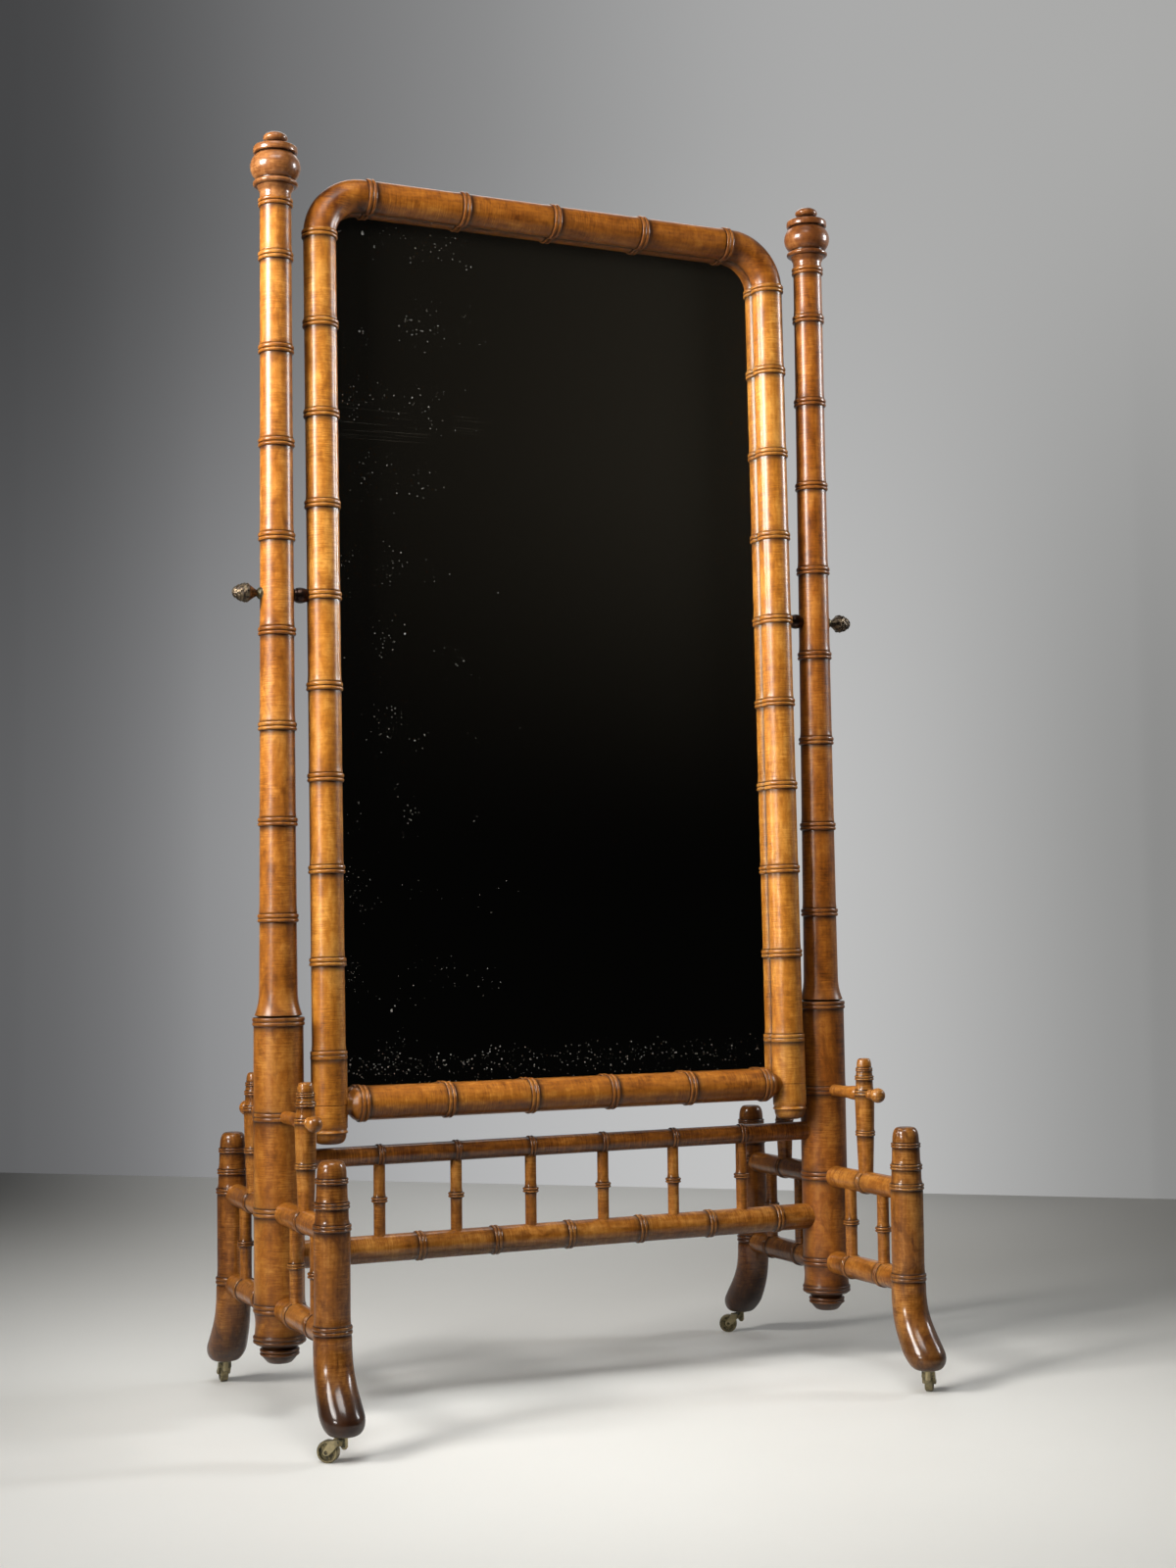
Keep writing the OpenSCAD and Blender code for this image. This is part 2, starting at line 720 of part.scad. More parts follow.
// Plate with its wood screw above and the riveted swivel pin below
module caster_plate(sx, sy) {
    rivet_z = boss_top_z - boss_h - face_gap;
    under_foot(sx, sy)
        turned([
            [rivet_z - rivet_h, rivet_d * 0.28], [rivet_z - rivet_h * 0.7, rivet_d * 0.45],
            [rivet_z - rivet_h * 0.3, rivet_d / 2], [rivet_z - 0.05, rivet_d / 2], [rivet_z, swivel_pin_d / 2],
            [caster_h - plate_t - 0.05, swivel_pin_d / 2], [caster_h - plate_t, plate_d * 0.44],
            [caster_h - plate_t * 0.7, plate_d / 2], [caster_h - 0.05, plate_d / 2],
            [caster_h, plate_screw_d / 2], [caster_h + plate_screw_l, plate_screw_d / 2]]);
}

module caster_plates() {
    color(old_brass)
        for (sx = [-1, 1], sy = [-1, 1])
            caster_plate(sx, sy);
}

// Horn that swivels on the plate's pin and carries the wheel between two cheeks
module caster_horn(sx, sy) {
    inner = wheel_w / 2 + face_gap;
    outer = inner + cheek_t;
    yoke_x = caster_trail - wheel_r - face_gap - axle_head_h;
    eye_r = axle_d * 0.95;
    color(old_brass)
        under_foot(sx, sy)
            rotate([0, 0, swivel_of(sx, sy)])
                difference() {
                    union() {
                        translate([0, 0, boss_top_z - boss_h])
                            cylinder(d = boss_d, h = boss_h);
                        // Yoke that spreads from the boss to the two cheeks
                        translate([0, 0, boss_top_z - boss_h * 0.78])
                            linear_extrude(boss_h * 0.66)
                                polygon([[-boss_d * 0.3, -boss_d * 0.4], [yoke_x - yoke_t, -outer],
                                    [yoke_x, -outer], [yoke_x, outer], [yoke_x - yoke_t, outer],
                                    [-boss_d * 0.3, boss_d * 0.4]]);
                        for (s = [-1, 1])
                            translate([0, s * (inner + cheek_t / 2), 0])
                                rotate([90, 0, 0])
                                    linear_extrude(cheek_t, center = true)
                                        cheek_outline(yoke_x, eye_r);
                    }
                    bore(swivel_pin_d + 2 * running_gap, boss_top_z - boss_h - past, boss_top_z + past);
                    translate([caster_trail, 0, wheel_r])
                        rotate([90, 0, 0])
                            cylinder(d = axle_d + 2 * fit_gap, h = 4 * outer, center = true);
                }
}

// Side view of a cheek, from the yoke down to the eye around the axle
module cheek_outline(yoke_x, eye_r) {
    high = boss_top_z - boss_h * 0.14;
    low = boss_top_z - boss_h * 0.76;
    polygon(concat(
        [[yoke_x - yoke_t, low], [yoke_x, low], [caster_trail * 0.6, wheel_r * 1.08]],
        [for (a = [250:20:410]) [caster_trail + eye_r * cos(a), wheel_r + eye_r * sin(a)]],
        [[caster_trail * 0.78, high - boss_h * 0.14], [yoke_x, high], [yoke_x - yoke_t, high]]));
}

module caster_axle(sx, sy) {
    half = wheel_w / 2 + face_gap + cheek_t;
    r = axle_d / 2;
    head_r = r * 1.35;
    color(old_brass)
        under_foot(sx, sy)
            rotate([0, 0, swivel_of(sx, sy)])
                translate([caster_trail, 0, wheel_r])
                    along_y()
                        turned(concat(
                            [[-half - axle_head_h, r], [-half - axle_head_h * 0.6, head_r],
                                [-half - fit_gap, head_r], [-half, r]],
                            [[half, r], [half + fit_gap, head_r], [half + axle_head_h * 0.6, head_r],
                                [half + axle_head_h, r]]));
}

// Wheel with a broad rim, a thinner web and a hub
module caster_wheel(sx, sy) {
    half = wheel_w / 2;
    edge = wheel_w * 0.12;
    rim_r = wheel_r * 0.76;
    hub_r = wheel_r * 0.34;
    web = wheel_w * 0.27;
    bore_r = axle_d / 2 + running_gap;
    color(old_brass)
        under_foot(sx, sy)
            rotate([0, 0, swivel_of(sx, sy)])
                translate([caster_trail, 0, wheel_r])
                    along_y()
                        rotate_extrude()
                            polygon([[bore_r, -half], [hub_r, -half], [hub_r, -web], [rim_r, -web],
                                [rim_r, -half], [wheel_r - edge, -half], [wheel_r, -half + edge],
                                [wheel_r, half - edge], [wheel_r - edge, half], [rim_r, half], [rim_r, web],
                                [hub_r, web], [hub_r, half], [bore_r, half]]);
}

// Mirror frame

// Places a child in the frame's own space: pivot at the origin, leaning back by its angle
module in_frame() {
    translate([0, 0, pivot_z])
        rotate([-frame_lean, 0, 0])
            children();
}

// Outline of the glass or back: grow is its reach past the axes of the frame's members
module pane_outline(grow) {
    half = stile_x + grow;
    r = elbow_r + grow;
    top = top_rail_h + grow;
    bottom = bottom_rail_h - grow;
    translate([-half, bottom])
        square([2 * half, top - r - bottom]);
    translate([-half + r, bottom])
        square([2 * (half - r), top - bottom]);
    for (s = [-1, 1])
        translate([s * (half - r), top - r])
            circle(r = r);
}

// Slab of the pane outline from depth a to depth b behind the axes
module pane(grow, a, b) {
    translate([0, b, 0])
        rotate([90, 0, 0])
            linear_extrude(b - a)
                pane_outline(grow);
}

// Stepped rebate cut out of every member from behind
module rebate() {
    pane(-glass_inset, glass_setback, 2 * frame_d);
    pane(back_overlap, shelf_y, 2 * frame_d);
}

// Places of the screws of the back: three up each stile and two in each rail
module at_back_screws() {
    in_x = stile_x - glass_inset / 3;
    for (s = [-1, 1]) {
        for (h = [bottom_rail_h * 0.82, 0, elbow_h * 0.88])
            translate([s * in_x, shelf_y, h])
                children();
        translate([s * elbow_x * 0.6, shelf_y, top_rail_h - glass_inset / 3])
            children();
        translate([s * elbow_x * 0.6, shelf_y, bottom_rail_h + glass_inset / 3])
            children();
    }
}

module screw_pilots() {
    at_back_screws()
        rotate([90, 0, 0])
            bore(back_screw_d + 2 * fit_gap, -past, back_screw_l - back_t + past);
}

function stile_rings() = concat(
    [for (k = [rings_below:-1:1])
        each ring(-k * stile_lower_pitch, ring_w, k == rings_below ? block_d / 2 : frame_r, frame_r,
            frame_r + ring_rise, flare_h, flare_out)],
    [for (k = [0:rings_above - 1])
        each ring(k * stile_upper_pitch, ring_w, frame_r, frame_r, frame_r + ring_rise, flare_h, flare_out)],
    ring(elbow_h, ring_w, frame_r, frame_r, frame_r + ring_rise));

// Round cup under a stile, with the lip above it and the scribed line at the height of the bottom rail
function stile_foot() =
    let (z = stile_bottom_h, r = block_d / 2, line = 0.9)
    concat(
        [[z, r * 0.4], [z + 0.8, r * 0.62]],
        swell(z + r * 0.5, r * 0.5, r * 0.5, r * 0.42, -60, 0, 20),
        [[z + r * 0.58, r * 0.97], [z + r * 0.64, r * 1.02], [z + r * 0.7, r * 0.97],
            [z + r * 0.78, r * 0.94], [z + r * 0.9, r]],
        [[bottom_rail_h - line, r], [bottom_rail_h, r - line], [bottom_rail_h + line, r]]);

module stile(sx) {
    color(amber)
        in_frame()
            difference() {
                translate([sx * stile_x, 0, 0])
                    turned(concat(stile_foot(), stile_rings()));
                rebate();
                screw_pilots();
                translate([sx * stile_x, 0, 0])
                    bore(dowel_d + 2 * fit_gap, elbow_h + ring_w / 2 - dowel_l - fit_gap, elbow_h + ring_w);
                translate([sx * stile_x, 0, bottom_rail_h])
                    rotate([0, -sx * 90, 0])
                        bore(rail_neck_d + 2 * fit_gap, block_d / 2 - pin_depth * 1.25, block_d);
                // Seat of the spacer, pocket of the insert and room for the end of the screw
                translate([stile_seat_x * sx, 0, 0])
                    rotate([0, sx * 90, 0]) {
                        bore(spacer_d * 0.8 + 2 * fit_gap, 0, ring_w);
                        bore(insert_d + 2 * fit_gap, -insert_l - fit_gap, past);
                        bore(screw_d * 1.25, -insert_l - screw_room, past);
                    }
            }
}

module elbow(sx) {
    start_h = elbow_h + ring_w / 2;
    color(amber)
        in_frame()
            difference() {
                union() {
                    // Quarter ring that starts above the top ring of the stile
                    difference() {
                        translate([sx * elbow_x, 0, elbow_h])
                            rotate([0, 0, sx > 0 ? 0 : 180])
                                rotate([90, 0, 0])
                                    rotate_extrude(angle = 90)
                                        translate([elbow_r, 0])
                                            circle(r = frame_r);
                        translate([sx * stile_x, 0, 0])
                            bore(frame_d + 4 * ring_rise, elbow_h - ring_w, start_h);
                    }
                    translate([sx * stile_x, 0, 0])
                        pin(dowel_d, start_h - dowel_l, start_h + dowel_root);
                    translate([sx * elbow_x, 0, top_rail_h])
                        rotate([0, -sx * 90, 0])
                            pin(dowel_d, -dowel_root, dowel_l);
                }
                rebate();
            }
}

module top_rail() {
    color(amber)
        in_frame()
            difference() {
                translate([0, 0, top_rail_h])
                    rotate([0, -90, 0])
                        turned(concat(
                            [[-elbow_x, frame_r]],
                            [for (i = [-2:1])
                                each ring(i * top_ring_x / 2, ring_w, frame_r, frame_r, frame_r + ring_rise,
                                    flare_h, flare_out)],
                            ring(top_ring_x, ring_w, frame_r, frame_r, frame_r + ring_rise),
                            [[elbow_x, frame_r]]));
                for (s = [-1, 1])
                    translate([s * elbow_x, 0, top_rail_h])
                        rotate([0, s * 90, 0])
                            bore(dowel_d + 2 * fit_gap, -dowel_l - fit_gap, ring_w);
                rebate();
                screw_pilots();
            }
}

// Rounded cup and neck between an end ring of the bottom rail and the stile, from the stile inward
function rail_cup() =
    let (neck = rail_neck_d / 2, r = frame_r, a = block_d / 2, b = end_ring_inset - ring_w / 2, run = b - a)
    [[a - pin_depth, neck], [a + run * 0.15, neck], [a + run * 0.35, neck * 1.12], [a + run * 0.55, r * 0.86],
        [a + run * 0.75, r * 0.96], [a + run * 0.9, r]];

module bottom_rail() {
    gaps = 5;
    pitch = 2 * end_ring_x / gaps;
    color(amber)
        in_frame()
            difference() {
                translate([0, 0, bottom_rail_h])
                    rotate([0, -90, 0])
                        turned(concat(
                            [for (p = rail_cup()) [p[0] - stile_x, p[1]]],
                            [for (i = [0:gaps])
                                each ring(i * pitch - end_ring_x, ring_w, frame_r, frame_r,
                                    frame_r + ring_rise)],
                            [for (i = [len(rail_cup()) - 1:-1:0])
                                let (p = rail_cup()[i])
                                [stile_x - p[0], p[1]]]));
                rebate();
                screw_pilots();
            }
}

module mirror_glass() {
    face_y = glass_setback + face_gap / 3;
    color(silvered)
        in_frame()
            pane(-glass_inset - face_gap, face_y, face_y + glass_t);
}

module backboard() {
    color(tobacco)
        in_frame()
            difference() {
                pane(back_overlap - face_gap, shelf_y + face_gap / 3, board_back_y);
                at_back_screws()
                    rotate([90, 0, 0])
                        bore(back_screw_d + 2 * fit_gap, -back_t - past, past);
            }
}

module backboard_screws() {
    r = back_screw_d / 2;
    seat = board_back_y - shelf_y + fit_gap;
    color(old_brass)
        in_frame()
            at_back_screws()
                along_y()
                    turned([[seat - back_screw_l, r * 0.4], [seat - back_screw_l + 2, r], [seat, r],
                        [seat + fit_gap, r * 2.1], [seat + r * 0.5, r * 1.9], [seat + r, r * 1.2]]);
}

// Pivots

module pivot_inserts() {
    color(old_brass)
        in_frame()
            for (sx = [-1, 1])
                translate([sx * stile_seat_x, 0, 0])
                    rotate([0, sx * 90, 0])
                        difference() {
                            pin(insert_d, -insert_l, -fit_gap);
                            bore(screw_d + 2 * running_gap, -insert_l - past, past);
                        }
}

module pivot_spacers() {
    r = spacer_d / 2;
    run = spacer_end_x - stile_seat_x;
    color(dark_brass)
        in_frame()
            for (sx = [-1, 1])
                translate([sx * stile_seat_x, 0, 0])
                    rotate([0, sx * 90, 0])
                        difference() {
                            turned([[0, r * 0.8], [seat_depth, r * 0.8], [run * 0.2, r * 0.87],
                                [run * 0.34, r * 0.96], [run * 0.52, r], [run * 0.7, r * 0.96],
                                [run * 0.82, r * 0.88], [run * 0.86, r * 0.8], [run, r * 0.76]]);
                            bore(screw_d + 2 * running_gap, -past, run + past);
                        }
}

module collar(sx) {
    r = collar_d / 2;
    t = collar_t;
    color(old_brass)
        translate([sx * (collar_seat_x + face_gap / 3), 0, pivot_z])
            rotate([0, sx * 90, 0])
                difference() {
                    turned([[0, r], [t * 0.3, r], [t * 0.36, r * 0.93], [t * 0.42, r * 0.97],
                        [t * 0.6, r * 0.92], [t * 0.8, r * 0.76], [t, r * 0.55]]);
                    bore(screw_d + 2 * running_gap, -past, t + past);
                }
}

// Half width of the pine cone at share t of its length, from the neck to the tip
function cone_r(t) =
    let (full = cone_d / 2, peak = 0.42)
    t < peak
        ? full * (0.34 + 0.6 * t / peak)
        : full * 0.94 * pow(cos(90 * (t - peak) / (1 - peak) * 0.93), 0.62);

// Rows of scales: each row is offset by half a scale and stands out most near its tip
function scale_rise(t, a) =
    let (peak = 0.36, rows = 4, u = (t - peak) / (1 - peak) * rows, k = floor(u), f = u - k,
        wave = abs(cos(a * 4 + (k % 2) * 90)))
    t < peak ? 0 : cone_d * 0.055 * (0.35 + 0.65 * wave) * (1 - f) * (t > 0.95 ? 0.4 : 1);

module pine_cone() {
    sides = 32;
    levels = [0, 0.2, 0.355, 0.37, 0.44, 0.515, 0.53, 0.6, 0.675, 0.69, 0.76, 0.835, 0.85, 0.92, 0.975, 1];
    stacked([for (t = levels)
        [for (i = [0:sides - 1])
            let (a = 360 * i / sides, r = cone_r(t) + scale_rise(t, a))
            [r * cos(a), r * sin(a), cone_l * t]]]);
}

module thumbscrew(sx) {
    tip_x = stile_seat_x - insert_l - screw_reach;
    color(old_brass)
        translate([sx * (cone_x + face_gap / 3), 0, pivot_z])
            rotate([0, sx * 90, 0]) {
                pine_cone();
                pin(screw_d, tip_x - cone_x, cone_l * 0.2);
            }
}

post(-1);  // left_post
post(1);  // right_post
finial(-1);  // left_finial
finial(1);  // right_finial
leg(-1, -1);  // front_left_leg
leg(1, -1);  // front_right_leg
leg(-1, 1);  // rear_left_leg
leg(1, 1);  // rear_right_leg
upper_rail(-1, -1);  // front_left_upper_rail
upper_rail(1, -1);  // front_right_upper_rail
upper_rail(-1, 1);  // rear_left_upper_rail
upper_rail(1, 1);  // rear_right_upper_rail
lower_rail(-1, -1);  // front_left_lower_rail
lower_rail(1, -1);  // front_right_lower_rail
lower_rail(-1, 1);  // rear_left_lower_rail
lower_rail(1, 1);  // rear_right_lower_rail
side_spindles(-1, -1);  // front_left_spindles
side_spindles(1, -1);  // front_right_spindles
side_spindles(-1, 1);  // rear_left_spindles
side_spindles(1, 1);  // rear_right_spindles
spike(-1, -1);  // front_left_spike
spike(1, -1);  // front_right_spike
spike(-1, 1);  // rear_left_spike
spike(1, 1);  // rear_right_spike
peg(-1, -1);  // front_left_peg
peg(1, -1);  // front_right_peg
peg(-1, 1);  // rear_left_peg
peg(1, 1);  // rear_right_peg
peg_knobs();
upper_stretcher();
lower_stretcher();
stretcher_spindles();
caster_plates();
caster_horn(-1, -1);  // front_left_horn
caster_horn(1, -1);  // front_right_horn
caster_horn(-1, 1);  // rear_left_horn
caster_horn(1, 1);  // rear_right_horn
caster_axle(-1, -1);  // front_left_axle
caster_axle(1, -1);  // front_right_axle
caster_axle(-1, 1);  // rear_left_axle
caster_axle(1, 1);  // rear_right_axle
caster_wheel(-1, -1);  // front_left_wheel
caster_wheel(1, -1);  // front_right_wheel
caster_wheel(-1, 1);  // rear_left_wheel
caster_wheel(1, 1);  // rear_right_wheel
stile(-1);  // left_stile
stile(1);  // right_stile
elbow(-1);  // left_elbow
elbow(1);  // right_elbow
top_rail();
bottom_rail();
mirror_glass();
backboard();
backboard_screws();
pivot_inserts();
pivot_spacers();
collar(-1);  // left_collar
collar(1);  // right_collar
thumbscrew(-1);  // left_thumbscrew
thumbscrew(1);  // right_thumbscrew
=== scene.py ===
"""Looks of the cheval mirror: turned wood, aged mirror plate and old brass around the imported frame."""

from math import ceil, cos, exp, hypot, pi, radians, sin, sqrt

import bpy
import numpy as np
from mathutils import Matrix, Vector


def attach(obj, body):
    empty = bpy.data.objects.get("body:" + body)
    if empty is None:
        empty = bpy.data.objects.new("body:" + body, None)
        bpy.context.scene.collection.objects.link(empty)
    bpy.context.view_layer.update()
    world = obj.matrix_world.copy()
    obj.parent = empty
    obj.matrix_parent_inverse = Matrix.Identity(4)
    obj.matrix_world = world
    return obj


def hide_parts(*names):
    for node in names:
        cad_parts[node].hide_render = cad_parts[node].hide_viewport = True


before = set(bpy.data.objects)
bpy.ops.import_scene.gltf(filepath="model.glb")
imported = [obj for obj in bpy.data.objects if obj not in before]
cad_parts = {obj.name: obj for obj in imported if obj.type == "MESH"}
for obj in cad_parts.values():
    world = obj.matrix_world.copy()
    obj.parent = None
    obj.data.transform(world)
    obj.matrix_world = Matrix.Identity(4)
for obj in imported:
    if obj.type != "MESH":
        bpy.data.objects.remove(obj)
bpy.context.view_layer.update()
MM = 0.001

# Sizes in millimetres, as in the CAD source

POST_X = 447.0
POST_FOOT_Z = 80.5
POST_DROP_H = 33.5
FIRST_RING_RISE = 43.3
LOWER_PITCH = 133.7
TRANSITION_RISE = 146.6
UPPER_PITCH = 137.0
NECK_RISE = 86.0
THICK_R = 35.75
THIN_LOW_R = 27.3
THIN_TOP_R = 22.75
FINIAL_H = 100.0
FINIAL_R = 36.5
RING_W = 12.5
RING_RISE = 2.6
THICK_RING_RISE = 1.5
SMALL_RING_W = 8.0
SMALL_RING_RISE = 3.5
GROOVE = 1.3
LEG_Y = 237.0
LEG_R = 24.0
LEG_RISE = 93.0
ANKLE_RISE = 5.7
UPPER_RAIL_R = 16.5
LOWER_RAIL_R = 17.75
SOCKET = 15.0
SIDE_SPINDLE_R = 9.0
SIDE_SPINDLE_PITCH = 92.0
SPIKE_RISE = 189.0
SPIKE_R = 15.25
PEG_R = 9.2
PEG_LIFT = 0.6
KNOB_R = 11.25
KNOB_REACH = 38.0
PIN_DEPTH = 8.0
FOOT_REACH = 46.0
FOOT_R = 29.5
FOOT_FLAT_R = 15.0
UPPER_STRETCHER_R = 14.25
LOWER_STRETCHER_R = 19.75
STRETCHER_RISE = 4.0
SPINDLE_PITCH = 118.9
SPINDLE_R = 8.5
SPINDLES = 6
STILE_OFFSET = 70.0
FRAME_R = 24.0
BLOCK_R = 26.0
STILE_UPPER_PITCH = 134.4
STILE_LOWER_PITCH = 132.4
BLOCK_H = 126.0
BOTTOM_RAIL_RISE = 55.0
ELBOW_R = 68.0
END_RING_INSET = 48.0
SWING_GAP = 6.75
FRAME_LEAN = 1.17
GLASS_SETBACK = 11.4
GLASS_T = 5.0
GLASS_INSET = 8.0
BACK_OVERLAP = 4.0
SPACER_R = 11.75
COLLAR_R = 9.0
COLLAR_T = 7.5
SEAT = 2.0
CONE_R = 14.0
CONE_L = 36.0
SCREW_R = 4.0
INSERT_L = 15.0
INSERT_PLAY = 3.0
FACE_GAP = 0.3
CASTER_H = 35.4

# How far a visible piece ends short of the solid that it replaces
SKIN = 0.05
PLACE_GAP = 0.1
FOOT_SKIN = 0.15

BASE_RING_Z = POST_FOOT_Z + POST_DROP_H
FIRST_RING_Z = BASE_RING_Z + FIRST_RING_RISE
TRANSITION_Z = FIRST_RING_Z + 3 * LOWER_PITCH
FIRST_THIN_Z = TRANSITION_Z + TRANSITION_RISE
POST_TOP_Z = FIRST_THIN_Z + 7 * UPPER_PITCH + NECK_RISE
LOWER_RAIL_Z = FIRST_RING_Z
UPPER_RAIL_Z = FIRST_RING_Z + LOWER_PITCH
ANKLE_Z = LOWER_RAIL_Z + ANKLE_RISE
PEG_Z = FIRST_RING_Z + 2 * LOWER_PITCH + PEG_LIFT
PEG_HOLE_R = PEG_R * 0.76
LOWER_STRETCHER_Z = FIRST_RING_Z + LOWER_PITCH / 2 + STRETCHER_RISE
UPPER_STRETCHER_Z = LOWER_STRETCHER_Z + LOWER_PITCH
STRETCHER_HALF = POST_X - THICK_R + SOCKET - SKIN
ARM_Y = (THICK_R + LEG_Y - LEG_R) / 2
ARM_START = THICK_R - SOCKET + SKIN
ARM_END = LEG_Y - LEG_R + SOCKET - SKIN
BLOCK_TOP_H = -5 * STILE_LOWER_PITCH
STILE_BOTTOM_H = BLOCK_TOP_H - BLOCK_H
BOTTOM_RAIL_H = STILE_BOTTOM_H + BOTTOM_RAIL_RISE
ELBOW_H = 4 * STILE_UPPER_PITCH
TOP_RAIL_H = ELBOW_H + ELBOW_R
PIVOT_Z = UPPER_STRETCHER_Z + UPPER_STRETCHER_R + SWING_GAP - STILE_BOTTOM_H
STILE_X = POST_X - STILE_OFFSET
ELBOW_X = STILE_X - ELBOW_R
TOP_RING_X = ELBOW_X - RING_W * 0.72
END_RING_X = STILE_X - END_RING_INSET
SHELF_Y = GLASS_SETBACK + GLASS_T + 2 * FACE_GAP


def post_r(z):
    """Radius of the thin upper part of a post at height z."""
    depth = (POST_TOP_Z - z) / (POST_TOP_Z - TRANSITION_Z)
    return THIN_TOP_R + (THIN_LOW_R - THIN_TOP_R) * depth ** 1.5


STILE_SEAT_X = STILE_X + FRAME_R + RING_RISE - SEAT
SPACER_END_X = POST_X - post_r(PIVOT_Z) - FACE_GAP
COLLAR_SEAT_X = POST_X + post_r(PIVOT_Z) - SEAT
CONE_X = COLLAR_SEAT_X + FACE_GAP + COLLAR_T

# Outlines: lists of (height, radius), with a darkness as the third value where dirt gathers

BEAD_DARK = 0.32
EDGE_DARK = 0.95
GROOVE_DARK = 1.0
BEAD_STEPS = 9
BEAD_SHARE = 0.96
GROOVE_DIP = 0.15
# Radius at which a rounded end closes
TIP_R = 0.01
FLARE_STEPS = (0.08, 0.2, 0.35, 0.55, 0.8, 1)
NO_FLARE = (0.0, 0.0)
THIN_RING_EXTRA = 0.3
TRANSITION_FLARE_H = 38
TRANSITION_WAIST = 0.4
# Height and rise of the flares that stand above a ring
FRAME_FLARE = (14, 0.8)
THIN_FLARE = (16, 1.0)
BOTTOM_FLARE = (10, 0.5)
STRETCHER_FLARE = (8, 0.5)
SIDE_RAIL_FLARE = (6, 0.4)


def arc(start, end, steps):
    """Angles in radians, from start to end in degrees."""
    return [radians(start + (end - start) * i / steps) for i in range(steps + 1)]


def bead(z, half, foot, top, start, end):
    """A low arch of the given half height that rises from radius foot to radius top."""
    return [(z - half * cos(a), foot + (top - foot) * sin(a), BEAD_DARK)
            for a in arc(start, end, BEAD_STEPS)]


def ring(z, height, below, above, top, flare_h=0.0, flare_r=0.0):
    """Two fine beads with a groove between, and a flare of the body above."""
    quarter = height / 4
    groove = max(top - GROOVE, min(below, above) - GROOVE / 2)
    points = [(z - height / 2, below, EDGE_DARK)]
    points += bead(z - quarter, quarter * BEAD_SHARE, below, top, 12, 165)
    points += [(z, groove - GROOVE_DIP, GROOVE_DARK)]
    points += bead(z + quarter, quarter * BEAD_SHARE, groove, top, 15, 168)
    points += [(z + height / 2, above, EDGE_DARK)]
    if flare_h:
        points += [(z + height / 2 + flare_h * t, above + flare_r * (1 - t) ** 2.2) for t in FLARE_STEPS]
    return points


def swell(z, half, radius, bulge, start, end, steps=14):
    """Part of an ellipse about height z that reaches from the radius out by the bulge."""
    return [(z + half * sin(a), radius + bulge * cos(a)) for a in arc(start, end, steps)]


def smooth(points, rounds=2):
    """Rounds the corners of a run of points, keeping its ends."""
    for _ in range(rounds):
        rounded = [points[0]]
        for (z0, r0), (z1, r1) in zip(points, points[1:]):
            rounded.append((z0 * 0.75 + z1 * 0.25, r0 * 0.75 + r1 * 0.25))
            rounded.append((z0 * 0.25 + z1 * 0.75, r0 * 0.25 + r1 * 0.75))
        points = rounded + [points[-1]]
    return points


def run(start, height, radius, *shares):
    """Points at shares of a height beyond the start, with shares of a radius."""
    return [(start + height * up, radius * out) for up, out in shares]


def fill(points, longest=9.0):
    """Adds points along long straight runs, so that shading and colour have something to hold on to."""
    filled = [points[0]]
    for a, b in zip(points, points[1:]):
        parts = max(1, ceil(abs(b[0] - a[0]) / longest))
        for i in range(1, parts):
            filled.append((a[0] + (b[0] - a[0]) * i / parts, a[1] + (b[1] - a[1]) * i / parts))
        filled.append(b)
    return filled


def filled_outline(outline, same=1e-6):
    """The filled outline without points that lie on the one before them."""
    kept = [outline[0]]
    for point in fill(outline):
        if abs(point[0] - kept[-1][0]) > same or abs(point[1] - kept[-1][1]) > same:
            kept.append(point)
    return kept


def post_drop():
    """The turned drop under a post, up to the first plain stretch."""
    z, h, r = POST_FOOT_Z, POST_DROP_H, THICK_R
    base = BASE_RING_Z
    return (smooth(run(z, h, r, (0, 0.4), (0.04, 0.5), (0.3, 0.7)), 1)
            + ring(z + h * 0.46, h * 0.3, r * 0.7, r * 0.66, r * 0.78)
            + run(z, h, r, (0.66, 0.68), (0.72, 0.74), (0.78, 0.92))
            + ring(base, h * 0.32, r * 0.99, r, r * 1.045)
            + smooth(run(base, h, r, (0.2, 0.99), (0.34, 0.972), (0.6, 0.953), (0.85, 0.962), (1.08, 1))))


def post_outline():
    top = THICK_R + THICK_RING_RISE
    low_r = post_r(TRANSITION_Z)
    points = post_drop()
    for i in range(3):
        z = FIRST_RING_Z + i * LOWER_PITCH
        points += ring(z, RING_W, THICK_R, THICK_R, top, RING_W, THICK_RING_RISE * 0.3)
    points += ring(TRANSITION_Z, RING_W, THICK_R - TRANSITION_WAIST, low_r, top,
                   TRANSITION_FLARE_H, (THICK_R - low_r) * 0.95)
    for i in range(8):
        z = FIRST_THIN_Z + i * UPPER_PITCH
        r = post_r(z)
        points += ring(z, RING_W, r, r, r + RING_RISE + THIN_RING_EXTRA, *THIN_FLARE)
    points += ring(POST_TOP_Z - RING_W / 2, RING_W, THIN_TOP_R, THIN_TOP_R, THIN_TOP_R + RING_RISE)
    return points + [(POST_TOP_Z + PLACE_GAP, THIN_TOP_R)]


